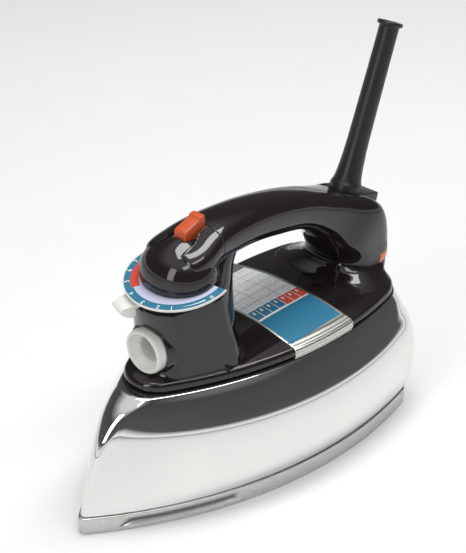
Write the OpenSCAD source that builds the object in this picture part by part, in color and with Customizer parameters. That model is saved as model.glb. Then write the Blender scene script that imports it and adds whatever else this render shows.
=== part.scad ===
// Steam and dry clothes iron with a chromed shell and a moulded handle.
// +X points to the nose, +Y to the side with the OFF end of the dial, +Z up.
// The origin is on the sole face, under the middle of its length.

/* [Sole] */
// Length of the soleplate
sole_l = 214; // [180:1:240]
// Width of the soleplate at its widest
sole_w = 114; // [100:1:130]
// Height of the soleplate's edge
sole_h = 10; // [8:0.5:13]
// How far behind the middle the soleplate is widest
sole_back = 50; // [35:1:60]
// Depth of the groove that runs round under a shirt button
button_groove_d = 2.6; // [1.5:0.1:3.5]
// Radius of one steam port
port_r = 1.6; // [1:0.1:2.2]

/* [Chrome shell] */
// Height of the shell's top edge above the table
shell_top = 70; // [62:1:76]
// How far the shell bulges past the soleplate at the sides
shell_bulge = 4.5; // [2:0.5:7]
// Thickness of the shell
shell_t = 0.9; // [0.7:0.1:1.5]

/* [Tank housing and handle] */
// Width of the black housing at its lip
housing_w = 90; // [80:1:98]
// Height of the grip's top above the table at the front
handle_top = 150.5; // [142:0.5:158]
// Width of the grip
grip_w = 28; // [24:1:32]
// Thickness of moulded walls
wall = 2.6; // [2:0.1:3.2]

/* [Dial and controls] */
// Radius of the dial disc
dial_r = 29.4; // [27:0.2:31]
// Lean of the dial towards the nose
dial_tilt = 11; // [6:0.5:14]
// Radius of the temperature spindle
spindle_r = 3; // [2.5:0.1:3.5]
// Width of the steam button
button_w = 7.8; // [7:0.1:9]
// Travel of the steam button
button_travel = 4; // [3:0.5:5]
// Radius of the steam valve's rod
rod_r = 1.5; // [1.2:0.1:1.8]

/* [Cord guard] */
// Radius of the hole that the mains lead passes through
cord_bore_r = 3.8; // [3:0.1:4.2]
// Length of the flexible sleeve
sleeve_l = 98; // [80:1:120]
// Lean of the sleeve towards the heel
sleeve_lean = 19.5; // [10:0.5:28]

/* [Hidden] */

slip = 0.08;           // radial clearance of a turning or sliding fit
gap = 0.3;             // clearance between pieces that move past each other
seat = 0.05;           // clearance between fixed pieces that locate each other
through = 1;           // how far a cut runs past a face
fine = 64;

nose_x = sole_l / 2;
rear_x = -sole_l / 2;
wide_x = -sole_back;
sole_half = sole_w / 2;

// Chamber, cover and everything that stacks on the soleplate
chamber_floor = 4;
chamber_wall_top = sole_h + 9;
cover_t = 1.5;
cover_top = chamber_wall_top + cover_t;
element_r = 4.2;
element_z = sole_h + 0.5;
element_bend = 30;
element_spread = 5;
element_leg = 116;
element_x = nose_x - 70;
shield_z = cover_top + 5;
shield_t = 0.8;

// Water tank
tank_z = shield_z + 18;
tank_top = shell_top - 2;
tank_t = 1.2;

// Housing lip
trim_t = 0.8;
lip_z = shell_top + trim_t;
lip_h = 6;
lip_nose = nose_x - 40;
lip_rear = rear_x - 9;
lip_half = housing_w / 2;
housing_top = lip_z + lip_h;

// Dial axis and levels measured along it from the disc's top face
dial_x = 33;
dial_z = shell_top + 55;
disc_t = 1.6;
rim_t = 2.4;
ring_t = 3;
ring_r = dial_r - 3.2;
ring_bore = 17;
column_r = dial_r - 2.6;
column_top = -rim_t - gap - ring_t - gap;

// Steam valve and button
rod_x = 35;
rod_y = -11;
button_x = 25;
button_l = 15.5;
button_top = handle_top + 4;
button_h = 18.5;
foot_t = 2.2;
foot_z = button_top - button_h - foot_t;
floor_z = foot_z - button_travel - 5;
jet_r = 4;

// Fill funnel
funnel_z = shell_top + 20;
funnel_x = lip_nose - 6.5;
funnel_rim_r = 12.4;
funnel_pipe_r = 8;
funnel_bore_r = 6.4;
drop_x = dial_x + 9;

// Rear post, guard and terminals
post_seam = rear_x - 9;
guard_w = 20.4;
guard_l = 30;
guard_x = -91;
guard_top = 127.5;
guard_slope = 14.5;
lamp_z = shell_top + 14.5;
lamp_h = 5;
bolt_r = 2;
rear_bolt_x = rear_x + 14;
front_bolt_x = 6;
roof_in = housing_top + 2.8;   // underside of the housing's flat ridge
block_x = rear_x + 8;
block_z = housing_top + 13;
lead_y = 14;
neck_w = 17;

// Points of a boat-shaped outline: round nose, bowed sides, round rear corners
function bow_r(d, half, nose_r) = (d * d + half * half - nose_r * nose_r) / (2 * (half - nose_r));
function half_boat(nose, rear, half, nose_r, corner_r, wide) =
    let (d = nose - nose_r - wide,
         bow = bow_r(d, half, nose_r),
         back = rear + corner_r - wide,
         corner_y = sqrt(pow(bow - corner_r, 2) - back * back) - (bow - half),
         turn = atan2(bow - half, d),
         join = atan2(corner_y + bow - half, back))
    concat(
        [for (i = [0:4]) let (a = turn * i / 4)
            [nose - nose_r + nose_r * cos(a), nose_r * sin(a)]],
        [for (i = [1:14]) let (a = turn + (join - turn) * i / 14)
            [wide + bow * cos(a), bow * sin(a) - (bow - half)]],
        [for (i = [1:6]) let (a = join + (180 - join) * i / 6)
            [rear + corner_r + corner_r * cos(a), corner_y + corner_r * sin(a)]]);
function boat(nose, rear, half, nose_r, corner_r, wide = wide_x) =
    let (side = half_boat(nose, rear, half, nose_r, corner_r, wide), n = len(side))
    concat(side, [for (i = [n - 1:-1:1]) [side[i][0], -side[i][1]]]);

// A closed skin through rings of equally many points
module skin(rings) {
    n = len(rings[0]);
    m = len(rings);
    points = [for (ring = rings) for (p = ring) p];
    sides = [for (k = [0:m - 2]) for (i = [0:n - 1]) let (j = (i + 1) % n)
        each [[k * n + i, (k + 1) * n + i, k * n + j],
              [k * n + j, (k + 1) * n + i, (k + 1) * n + j]]];
    low = [for (i = [0:n - 1]) i];
    high = [for (i = [n - 1:-1:0]) (m - 1) * n + i];
    polyhedron(concat(points), concat(sides, [low], [high]));
}
function level(outline, z) = [for (p = outline) [p[0], p[1], z]];

// Shell sections: height, nose, rear, half width, nose radius, rear corner radius
shell_low = sole_h + 0.6;
shell_rise = shell_top - shell_low;
SHELL = [
    [0.00, nose_x - 1.5, rear_x - 1, sole_half - 0.5, 3, 12],
    [0.10, nose_x - 3, rear_x - 5, sole_half + 0.45 * shell_bulge, 3.5, 16],
    [0.25, nose_x - 5.5, rear_x - 9, sole_half + 0.85 * shell_bulge, 4, 20],
    [0.42, nose_x - 8.5, rear_x - 12, sole_half + shell_bulge, 5, 24],
    [0.58, nose_x - 12, rear_x - 13.5, sole_half + 0.85 * shell_bulge, 6, 27],
    [0.72, nose_x - 16, rear_x - 13.5, sole_half + 0.25 * shell_bulge, 8, 29],
    [0.84, nose_x - 21, rear_x - 12.5, sole_half - 3.5, 10, 30],
    [0.93, nose_x - 27, rear_x - 11, sole_half - 7.5, 12, 29],
    [1.00, nose_x - 34, rear_x - 9.5, sole_half - 11.5, 14, 28]];
function shell_ring(s, t, z) = level(boat(s[1] - t, s[2] + t, s[3] - t, s[4], s[5] - t), z);
module shell_form(t, from, to) {
    skin([for (s = SHELL) shell_ring(s, t,
        s[0] == 0 ? from : s[0] == 1 ? to : shell_low + shell_rise * s[0])]);
}

module slab(outline, from, to) {
    translate([0, 0, from]) linear_extrude(to - from) polygon(outline);
}
module peg(x, y, from, to, r) {
    translate([x, y, from]) cylinder(h = to - from, r = r, $fn = fine);
}
module dial_frame() {
    translate([dial_x, 0, dial_z]) rotate([0, dial_tilt, 0]) children();
}
module tube(r, bore, from, to) {
    translate([0, 0, from]) difference() {
        cylinder(h = to - from, r = r, $fn = fine);
        translate([0, 0, -through]) cylinder(h = to - from + 2 * through, r = bore, $fn = fine);
    }
}
module screw(x, y, from, to, r) {
    difference() {
        union() {
            peg(x, y, from, to, r);
            peg(x, y, to, to + 1.6, r * 1.8);
        }
        translate([x - r * 1.5, y - 0.4, to + 0.9]) cube([r * 3, 0.8, through]);
    }
}

// ---- Soleplate, element and steam chamber ----
chamber_mid = nose_x - 100;
chamber = boat(nose_x - 52, nose_x - 134, 20.5, 8, 10, chamber_mid);
chamber_wall = boat(nose_x - 48, nose_x - 138, 24, 11, 13, chamber_mid);
cover_spots = [for (x = [nose_x - 70, nose_x - 128]) for (side = [-1, 1]) [x, side * 19.5]];
shell_spots = [[rear_x + 16, 38], [rear_x + 16, -38], [nose_x - 15, 0]];
boss_r = 4;

// A sheathed rod bent to a hairpin, with a sleeve where each leg meets the bend
module element_path(r) {
    translate([element_x, 0, element_z]) rotate([0, 0, -(90 - element_spread)])
        rotate_extrude(angle = 2 * (90 - element_spread), $fn = fine)
            translate([element_bend, 0]) circle(r = r, $fn = 32);
    for (side = [-1, 1])
        translate([element_x + element_bend * sin(element_spread),
                   side * element_bend * cos(element_spread), element_z])
            rotate([0, 0, side * (180 - element_spread)]) rotate([0, 90, 0]) {
                translate([0, 0, -3]) cylinder(h = 6, r = r + 0.5, $fn = 32);
                translate([0, 0, 1]) cylinder(h = element_leg - 1, r = r, $fn = 32);
            }
}
function leg_end(side) = [
    element_x + element_bend * sin(element_spread) - element_leg * cos(element_spread),
    side * (element_bend * cos(element_spread) + element_leg * sin(element_spread))];

module soleplate() color([0.80, 0.80, 0.79]) {
    difference() {
        union() {
            slab(boat(nose_x, rear_x, sole_half, 3.5, 6), 0, sole_h);
            slab(chamber_wall, sole_h - seat, chamber_wall_top);
            for (p = cover_spots) peg(p[0], p[1], sole_h - seat, chamber_wall_top, boss_r);
            for (p = shell_spots) peg(p[0], p[1], sole_h - seat, shield_z - 2, boss_r);
            peg(rear_bolt_x, 0, sole_h - seat, shield_z - 2, boss_r + 1);
        }
        slab(chamber, chamber_floor, chamber_wall_top + through);
        element_path(element_r + seat);
        for (p = cover_spots) peg(p[0], p[1], sole_h, chamber_wall_top + through, 1.5);
        for (p = shell_spots) peg(p[0], p[1], sole_h, shield_z, 1.8);
        peg(rear_bolt_x, 0, sole_h, shield_z, bolt_r);
        for (p = port_spots()) peg(p[0], p[1], -through, chamber_floor + through, port_r);
        button_groove();
    }
}
function port_spots() = concat(
    [for (i = [0:4]) [nose_x - 60 - 13 * i, 0]],
    [for (side = [-1, 1]) for (i = [0:3]) [nose_x - 68 - 14 * i, side * (7 + 1.6 * i)]]);

// The groove runs back from behind the nose block, above a thin lower lip
module button_groove() {
    groove_low = 2.6;
    groove_high = sole_h - 2.4;
    difference() {
        slab(boat(nose_x + 8, rear_x - 8, sole_half + 8, 3.5, 6), groove_low, groove_high);
        slab(boat(nose_x - button_groove_d, rear_x - 9, sole_half - button_groove_d, 3.5, 3),
            0, sole_h);
        translate([nose_x - 16, -20, 0]) cube([40, 40, sole_h]);
        translate([rear_x - 20, -sole_w, 0]) cube([sole_l - 52, 2 * sole_w, sole_h]);
    }
}

module heating_element() color([0.42, 0.42, 0.43]) element_path(element_r);

module element_pins() color([0.72, 0.60, 0.35]) {
    for (side = [-1, 1]) {
        p = leg_end(side);
        peg(p[0] + 4, p[1] - side * 1, element_z + element_r + seat, element_z + 9, 3);
        peg(p[0] + 4, p[1] - side * 1, element_z + 9, shield_z + 9, 1.2);
    }
}

module chamber_cover() color([0.66, 0.66, 0.67]) {
    difference() {
        union() {
            slab(chamber_wall, chamber_wall_top, cover_top);
            for (p = cover_spots) peg(p[0], p[1], chamber_wall_top, cover_top, boss_r);
        }
        for (p = cover_spots) peg(p[0], p[1], chamber_floor, cover_top + through, 1.5 + seat);
        peg(rod_x, rod_y, chamber_floor, cover_top + through, jet_r + seat);
    }
}

module cover_screws() color([0.55, 0.55, 0.57]) {
    for (p = cover_spots) screw(p[0], p[1], sole_h + 1, cover_top, 1.5);
}

// ---- Thermostat ----
// Levels measured down the dial axis from the disc's top face
stat_low = -(dial_z - cover_top - 4) / cos(dial_tilt);
stat_x = dial_x + sin(dial_tilt) * stat_low;

module thermostat_base() color([0.70, 0.70, 0.71]) {
    difference() {
        union() {
            translate([stat_x - 11, -9, cover_top]) cube([20, 18, 1.6]);
            translate([stat_x - 11, -9, cover_top]) cube([1.6, 18, 15]);
            dial_frame() tube(5.2, spindle_r + slip, stat_low + 8, stat_low + 15);
            translate([stat_x - 11, -5, cover_top + 13.4])
                cube([12, 10, 1.6]);
        }
        dial_frame() translate([0, 0, stat_low - 9])
            cylinder(h = 40, r = spindle_r + slip, $fn = fine);
        for (side = [-1, 1]) peg(stat_x - 4, side * 6.5, cover_top - through, cover_top + 3, 1.2);
    }
}

module bimetal_blade() color([0.75, 0.55, 0.35]) {
    translate([stat_x + 2, -3.5, cover_top + 1.6]) cube([26, 7, 0.8]);
    translate([stat_x + 22, -2, cover_top + 2.4]) cube([2.5, 4, 2]);
}

module contact_blades() color([0.85, 0.80, 0.70]) {
    translate([stat_x - 9.3, -4, cover_top + 1.6]) cube([6, 8, 3.4]);
    translate([stat_x - 9.3, -2.5, cover_top + 5]) cube([14, 5, 0.5]);
    translate([stat_x - 9.3, -4, cover_top + 5.5]) cube([4, 8, 2.2]);
}

module spindle() color([0.75, 0.65, 0.35]) dial_frame() {
    translate([0, 0, stat_low + 7]) cylinder(h = -rim_t - stat_low - 7, r = spindle_r, $fn = fine);
}

// ---- Heat shield and shell ----
module heat_shield() color([0.78, 0.78, 0.80]) {
    difference() {
        slab(boat(nose_x - 30, rear_x + 10, sole_half - 9, 14, 22), shield_z, shield_z + shield_t);
        translate([stat_x - 14, -12, shield_z - through]) cube([48, 24, 3]);
        peg(rod_x, rod_y, shield_z - through, shield_z + 2, jet_r + 1);
        for (side = [-1, 1]) {
            p = leg_end(side);
            peg(p[0] + 4, p[1] - side, shield_z - through, shield_z + 2, 4);
        }
        for (p = shell_spots) peg(p[0], p[1], shield_z - through, shield_z + 2, 2.4);
        peg(rear_bolt_x, 0, shield_z - through, shield_z + 2, bolt_r + 0.5);
    }
    for (p = [shell_spots[0], shell_spots[1]]) translate([p[0], p[1], shield_z - 2])
        tube(boss_r, 1.8 + seat, 0, 2);
}

shell_roof_t = 1.2;
module shell() color([0.86, 0.87, 0.88]) {
    difference() {
        shell_form(0, shell_low, shell_top);
        shell_form(shell_t, shell_low - through, shell_top - shell_roof_t);
        slab(boat(lip_nose - 7, lip_rear + 14, lip_half - 8, 14, 20), shell_top - 3, shell_top + 3);
    }
}

module shell_screws() color([0.55, 0.55, 0.57]) {
    for (p = [shell_spots[0], shell_spots[1]])
        screw(p[0], p[1], sole_h + 2, shield_z + shield_t, 1.8);
    screw(shell_spots[2][0], 0, sole_h + 2, shield_z - 2, 1.8);
}

// ---- Water tank and steam valve ----
tank_outline = boat(lip_nose - 9, -64, lip_half - 10, 14, 16);
spindle_well = [dial_x - tan(dial_tilt) * (dial_z - (tank_z + tank_top) / 2), 9.5];

module water_tank() color([0.74, 0.75, 0.77]) {
    difference() {
        slab(tank_outline, tank_z, tank_top);
        difference() {
            slab(boat(lip_nose - 9 - tank_t, -64 + tank_t, lip_half - 10 - tank_t, 13, 15),
                tank_z + tank_t, tank_top - tank_t);
            peg(spindle_well[0], 0, tank_z, tank_top, spindle_well[1]);
        }
        peg(spindle_well[0], 0, tank_z - through, tank_top + through, spindle_well[1] - tank_t);
        peg(drop_x, 0, tank_top - 4, tank_top + through, funnel_pipe_r - 1 + seat);
        peg(rod_x, rod_y, tank_top - 4, tank_top + through, 3.2 + seat);
        peg(rod_x, rod_y, tank_z - through, tank_z + 4, jet_r + seat);
    }
}

module valve_jet() color([0.80, 0.64, 0.30]) {
    jet_top = tank_z + tank_t + 3;
    difference() {
        union() {
            peg(rod_x, rod_y, chamber_wall_top - 3, jet_top, jet_r);
            peg(rod_x, rod_y, tank_z + tank_t + seat, jet_top, jet_r + 1.6);
            peg(rod_x, rod_y, cover_top, cover_top + 2, jet_r + 1.6);
        }
        peg(rod_x, rod_y, 0, jet_top + through, 0.8);
        peg(rod_x, rod_y, jet_top - 5, jet_top + through, rod_r + gap);
    }
}

module rod_seal() color([0.15, 0.15, 0.15]) {
    difference() {
        peg(rod_x, rod_y, tank_top - 3, tank_top + 2, 3.2);
        peg(rod_x, rod_y, tank_top - 5, tank_top + 4, rod_r + slip);
    }
}

module valve_rod() color([0.80, 0.68, 0.36]) {
    tip = tank_z + tank_t + 3 + gap;
    peg(rod_x, rod_y, tip, foot_z, rod_r);
}

module spring_clip() color([0.6, 0.6, 0.62]) {
    difference() {
        peg(rod_x, rod_y, foot_z - 1.2, foot_z, 3.4);
        peg(rod_x, rod_y, foot_z - 3, foot_z + 1, rod_r + seat);
    }
}

module valve_spring() color([0.70, 0.70, 0.72]) {
    turns = 2;
    spring_low = floor_z + 1.6;
    spring_high = foot_z - 1.2;
    pitch = (spring_high - spring_low - 0.7) / turns;
    for (i = [0:turns]) translate([rod_x, rod_y, spring_low + 0.35 + pitch * i])
        rotate_extrude($fn = 32) translate([2.7, 0]) circle(r = 0.35, $fn = 16);
    for (i = [0:turns - 1]) translate([rod_x, rod_y, spring_low + 0.35 + pitch * i])
        rotate([0, 0, 90 * i]) translate([2.7, 0, 0]) cylinder(h = pitch, r = 0.3, $fn = 16);
}

// The top face falls towards the nose, with a finger step across it
module steam_button() color([0.85, 0.36, 0.16]) {
    low = foot_z + foot_t - seat;
    back = button_x - button_l / 2;
    translate([back, button_w / 2, 0]) rotate([90, 0, 0]) linear_extrude(button_w) polygon([
        [0, low], [button_l, low], [button_l, button_top - 6], [button_l - 1.2, button_top - 4.6],
        [5.2, button_top - 1.6], [4.2, button_top - 0.3], [1, button_top]]);
    translate([back, -button_w / 2, foot_z]) cube([button_l, button_w, foot_t]);
    translate([rod_x - 4, rod_y - 3.5, foot_z]) cube([7, button_w / 2 - rod_y + 3.5, foot_t]);
}

// ---- Tank housing, lip trim, funnel and label plate ----
HOUSING = [
    [lip_z, lip_nose - 1, lip_rear + 1, lip_half - 1, 17, 26],
    [lip_z + 1.5, lip_nose, lip_rear, lip_half, 18, 27],
    [housing_top - 1.5, lip_nose - 0.6, lip_rear + 0.6, lip_half - 0.6, 18, 27],
    [housing_top, lip_nose - 2.4, lip_rear + 2, lip_half - 2.6, 17, 25],
    [housing_top + 2.2, lip_nose - 12, lip_rear + 8, lip_half * 0.70, 15, 20],
    [housing_top + 4.2, lip_nose - 20, lip_rear + 14, lip_half * 0.44, 10, 12],
    [housing_top + 5.4, lip_nose - 26, lip_rear + 18, lip_half * 0.18, 4, 5]];
module housing_form(t) {
    skin([for (s = HOUSING) level(boat(s[1] - t, s[2] + t, s[3] - t, s[4] - t / 2, s[5] - t / 2),
        s[0] == lip_z ? lip_z - (t == 0 ? 0 : through) : s[0] - t)]);
}
// The column flares slightly towards its foot
module column_form(t) {
    high = column_top + (t > 0 ? through : 0);
    low = column_top - 40.5;
    dial_frame() rotate_extrude($fn = fine) polygon([
        [0, high], [column_r - t, high],
        [column_r + 0.6 - t, column_top - 12], [column_r + 2 - t, column_top - 28],
        [column_r + 5 - t, column_top - 36], [column_r + 9 - t, low], [0, low]]);
}
leg_face = dial_x - 5;
module tank_housing() color([0.10, 0.09, 0.10]) {
    difference() {
        union() {
            housing_form(0);
            difference() {
                column_form(0);
                translate([leg_face - 100, -50, housing_top - 8]) cube([100, 100, 80]);
                translate([-50, -60, 0]) cube([160, 120, lip_z + 2]);
            }
            translate([funnel_x - 18, 0, funnel_z]) rotate([0, 90, 0])
                cylinder(h = 14.5, r = funnel_rim_r + 1.6, $fn = fine);
        }
        housing_form(wall);
        intersection() {
            column_form(wall);
            translate([leg_face - 11, -60, 0]) cube([100, 120, 200]);
        }
        translate([funnel_x - 22, 0, funnel_z]) rotate([0, 90, 0])
            cylinder(h = 24, r = funnel_rim_r - 2 + seat, $fn = fine);
        translate([funnel_x - 8, 0, funnel_z]) rotate([0, 90, 0])
            cylinder(h = 24, r = funnel_rim_r + seat, $fn = fine);
        peg(front_bolt_x, 0, lip_z, dial_z, bolt_r + seat);
        peg(rear_bolt_x, 0, lip_z, dial_z, bolt_r + seat);
        for (side = [-1, 1]) peg(block_x, side * lead_y, lip_z, dial_z, 2.2);
        dial_frame() translate([0, 0, lip_z - dial_z - 8])
            cylinder(h = dial_z - lip_z - 20, r = spindle_r + gap, $fn = fine);
        plate_form(seat);
    }
}

module lip_trim() color([0.08, 0.08, 0.08]) {
    difference() {
        slab(boat(lip_nose + 1.2, lip_rear - 0.6, lip_half + 0.8, 18, 27), shell_top, lip_z);
        slab(boat(lip_nose - 6, lip_rear + 8, lip_half - 6, 14, 22), shell_top - 1, lip_z + 1);
    }
}

module fill_funnel() color([0.93, 0.92, 0.88]) {
    mouth = funnel_x;
    difference() {
        union() {
            translate([mouth - 8 + seat, 0, funnel_z]) rotate([0, 90, 0]) rotate_extrude($fn = fine)
                polygon([[0, 0], [funnel_rim_r, 0], [funnel_rim_r, 6.4], [funnel_rim_r - 0.5, 7.5],
                    [funnel_rim_r - 1.5, 8], [0, 8]]);
            translate([drop_x, 0, funnel_z]) rotate([0, 90, 0])
                cylinder(h = mouth - 8 - drop_x + 1, r = funnel_pipe_r, $fn = fine);
            translate([drop_x, 0, funnel_z]) sphere(r = funnel_pipe_r, $fn = fine);
            peg(drop_x, 0, tank_top + 2, funnel_z, funnel_pipe_r);
            peg(drop_x, 0, tank_top - 2, tank_top + 3, funnel_pipe_r - 1);
        }
        translate([mouth - 7.5, 0, funnel_z]) rotate([0, 90, 0]) rotate_extrude($fn = fine)
            polygon([[0, -1], [funnel_bore_r, -1], [funnel_bore_r, 0], [funnel_rim_r - 2.8, 7.6],
                [funnel_rim_r - 2.3, 9], [0, 9]]);
        translate([drop_x, 0, funnel_z]) rotate([0, 90, 0])
            cylinder(h = mouth - 7 - drop_x, r = funnel_bore_r, $fn = fine);
        translate([drop_x, 0, funnel_z]) sphere(r = funnel_bore_r, $fn = fine);
        peg(drop_x, 0, tank_top - 4, funnel_z, funnel_bore_r - 1);
    }
}

module funnel_seal() color([0.20, 0.20, 0.20]) {
    translate([drop_x, 0, 0]) tube(funnel_pipe_r + 0.4, funnel_pipe_r - 1 + seat,
        tank_top + seat, tank_top + 2 - seat);
}

// The plate wraps over the housing between the leg and the rear post
plate_front = -12;
plate_rear = -56;
plate_t = 1.2;
module plate_form(t) {
    intersection() {
        difference() {
            skin([for (s = HOUSING) level(boat(s[1] + 0.4, s[2] - 0.4, s[3] + 0.4, s[4], s[5]),
                s[0] + (s[0] == lip_z ? 0.6 : 0.4))]);
            skin([for (s = HOUSING) level(boat(s[1] - plate_t - t, s[2] + plate_t + t,
                s[3] - plate_t - t, s[4], s[5]), s[0] - (s[0] == lip_z ? 2 : plate_t + t))]);
        }
        translate([plate_rear - t, -sole_w, lip_z + 0.6 - t])
            cube([plate_front - plate_rear + 2 * t, 2 * sole_w, 30]);
    }
}
module label_plate() color([0.62, 0.62, 0.60]) plate_form(0);

// ---- Dial and lever ----
lever_rest = -19;      // where the lever stands, measured from the nose
lever_l = 8.2;
lever_wide = 13;
web_turn = 160;        // the hub's web, measured from the lever

module dial_scale() color([0.25, 0.50, 0.61]) dial_frame() {
    difference() {
        translate([0, 0, -disc_t]) cylinder(h = disc_t, r = dial_r - 0.9, $fn = fine);
        translate([0, 0, -disc_t - through]) cylinder(h = disc_t + 2 * through, r = 16, $fn = fine);
        translate([-64.2, -40, -5]) cube([60, 80, 10]);
    }
}
module dial_rim() color([0.93, 0.93, 0.90]) dial_frame() {
    difference() {
        rotate_extrude($fn = fine) polygon([
            [dial_r - 4, -rim_t], [dial_r, -rim_t], [dial_r, 0], [dial_r - 0.3, 0.3],
            [dial_r - 0.9 + seat, 0.3], [dial_r - 0.9 + seat, -disc_t - seat],
            [dial_r - 4, -disc_t - seat]]);
        translate([-64.2, -40, -5]) cube([60, 80, 10]);
    }
}
module temperature_lever() color([0.93, 0.92, 0.88]) dial_frame() {
    ring_low = column_top + gap;
    arm_low = ring_low + 0.3;
    arm_high = ring_low + ring_t - 0.3;
    tip = dial_r + lever_l;
    difference() {
        union() {
            translate([0, 0, ring_low]) cylinder(h = ring_t, r = ring_r, $fn = fine);
            rotate([0, 0, lever_rest]) translate([0, lever_wide / 2, 0]) rotate([90, 0, 0])
                linear_extrude(lever_wide) polygon([
                    [ring_r - 3, arm_low], [column_r + 1.4, arm_low], [column_r + 1.4, arm_low - 5],
                    [column_r + 4.4, arm_low - 5], [tip - 3, arm_low - 3], [tip, arm_low],
                    [tip, arm_high - 1], [tip - 2, arm_high], [ring_r - 3, arm_high]]);
        }
        // one wide opening leaves a single web that carries the hub
        rotate([0, 0, lever_rest + web_turn + 20]) translate([0, 0, ring_low - through])
            rotate_extrude(angle = 320, $fn = fine)
                translate([6, 0]) square([ring_bore - 6, ring_t + 2 * through]);
        translate([0, 0, ring_low - through])
            cylinder(h = ring_t + 2 * through, r = spindle_r + seat, $fn = fine);
    }
}
module lever_clip() color([0.6, 0.6, 0.62]) dial_frame() {
    tube(5, spindle_r + seat, column_top - 2, column_top - 0.8);
}

// ---- Handle ----
// Stations along the grip and down the rear post:
// x, height, lean of the section, half width, half thickness
grip_z = handle_top - 11.5;
grip_half = grip_w / 2;
HANDLE = [
    [42, grip_z - 3.5, -8, grip_half - 2, 3],
    [38.5, grip_z - 4, -4, grip_half + 4, 7.5],
    [28, grip_z - 2.8, 0, grip_half + 5, 9.4],
    [12, grip_z - 0.5, 4, grip_half + 2, 11],
    [-12, grip_z - 1, 8, grip_half + 0.5, 11],
    [-35, grip_z - 4.4, 12, grip_half, 11.1],
    [-58, grip_z - 10, 18, grip_half + 0.5, 11],
    [-80, grip_z - 21, 34, grip_half + 3, 14],
    [-96.5, grip_z - 32, 58, grip_half + 8, 20.3],
    [-102.5, housing_top + 14, 84, grip_half + 8, 19.5],
    [-101, housing_top + 6.5, 94, grip_half + 9, 20.5],
    [-97, housing_top + 2.4, 95, grip_half + 15, 22],
    [-92, housing_top - 0.8, 91, grip_half + 22, 23]];
function blend4(a, b, c, d, t) = 0.5 * (2 * b + (c - a) * t
    + (2 * a - 5 * b + 4 * c - d) * t * t + (3 * b - a - 3 * c + d) * t * t * t);
function along(list, s) =
    let (last = len(list) - 1, k = min(floor(s), last - 1))
    blend4(list[max(k - 1, 0)], list[k], list[k + 1], list[min(k + 2, last)], s - k);
function squircle(a, p) = [sign(cos(a)) * pow(abs(cos(a)), 2 / p),
                           sign(sin(a)) * pow(abs(sin(a)), 2 / p)];
function grip_ring(s, t) =
    let (h = along(HANDLE, s), back = 2.5 + 2.5 * max(0, min(1, (s - 6.4) / 1.6, (10.8 - s) / 1.4)))
    [for (i = [0:27]) let (q = squircle(i * 360 / 28, i < 15 ? back : 2.5))
        [h[0] - sin(h[2]) * q[1] * (h[4] - t), -q[0] * (h[3] - t),
         h[1] + cos(h[2]) * q[1] * (h[4] - t)]];
module grip_form(t, first, last, steps) {
    skin([for (k = [0:steps]) grip_ring(first + (last - first) * k / steps, t)]);
}

// The leg closes the column's rear and carries the grip's front end
LEG = [
    [housing_top - 2, 31, 29], [housing_top + 3, 27.5, 26.5], [housing_top + 12, 25, 25],
    [dial_z - 22, 23.5, 24.5], [dial_z - 8, 22.5, 24], [dial_z, 20.5, 25],
    [dial_z + 5, 17.5, 27], [dial_z + 9, 15.5, 28]];
function leg_ring(s, t) = [for (i = [0:16]) let (a = 90 + 180 * i / 16)
    [leg_face + t + (s[2] + t) * cos(a), (s[1] + t) * sin(a), s[0]]];
module leg_form(t, from, to) {
    intersection() {
        skin([for (s = LEG) leg_ring(s, t)]);
        translate([-60, -60, from]) cube([120, 120, to - from]);
    }
}

module guard_frame() {
    translate([guard_x, 0, guard_top]) rotate([0, -guard_slope, 0]) children();
}
module lamp_slot(t) {
    difference() {
        translate([rear_x - 30, -40, lamp_z - lamp_h / 2 - t])
            cube([30 - 4.5 + t, 80, lamp_h + 2 * t]);
        grip_form(lens_t + t, 8, 12, 16);
    }
}
lens_t = 1.5;
// The space that the button's foot and the valve spring move in
module foot_space() {
    back = button_x - button_l / 2 - gap;
    front = rod_x + 3 + gap;
    translate([back, -button_w / 2 - gap, foot_z - button_travel - gap])
        cube([front - back, button_w + 2 * gap, button_travel + foot_t + 2 * gap]);
    translate([rod_x - 4 - gap, rod_y - 3.5 - gap, foot_z - button_travel - gap])
        cube([7 + 2 * gap, button_w / 2 - rod_y + 3.5 + 2 * gap, button_travel + foot_t + 2 * gap]);
    translate([back, -button_w / 2 - gap, foot_z]) cube([button_l + 2 * gap, button_w + 2 * gap, 40]);
    peg(rod_x, rod_y, floor_z + 1.6, foot_z, 3.6 + gap);
}
module neck_space(t) {
    translate([leg_face, -neck_w / 2 - t, dial_z - 10]) cube([40, neck_w + 2 * t, 60]);
}

module handle() color([0.10, 0.09, 0.10]) {
    difference() {
        union() {
            grip_form(0, 0, 12, 32);
            leg_form(0, housing_top - 2, dial_z + 9);
        }
        housing_form(-seat);
        // post cavity and the seam with the rear cover
        difference() {
            grip_form(wall + 0.4, 8, 12, 12);
            translate([rear_bolt_x - 8, -9, lip_z]) cube([40, 18, housing_top + 8.4 - lip_z]);
        }
        translate([post_seam - 60, -60, 0]) cube([60, 120, 200]);
        lamp_slot(seat);
        // column cavity, dial slot and cap channel
        leg_core();
        dial_frame() translate([0, 0, column_top - 0.4])
            cylinder(h = -column_top + 0.8, r = ring_r + gap, $fn = fine);
        neck_space(seat);
        foot_space();
        peg(rod_x, rod_y, dial_z - 20, foot_z, rod_r + 1);
        peg(front_bolt_x, 0, housing_top - 5, housing_top + 14.5, bolt_r + seat);
        guard_pocket();
        peg(rear_bolt_x, 0, 40, housing_top + 14, bolt_r + seat);
    }
}
module leg_core() {
    translate([leg_face - 16, -14, housing_top + 3]) cube([17, 28, dial_z - housing_top - 7]);
}
module guard_pocket() {
    guard_frame() translate([-guard_l - seat, -guard_w / 2 - seat, -22])
        cube([guard_l + 2 * seat, guard_w + 2 * seat, 40]);
}

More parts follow.
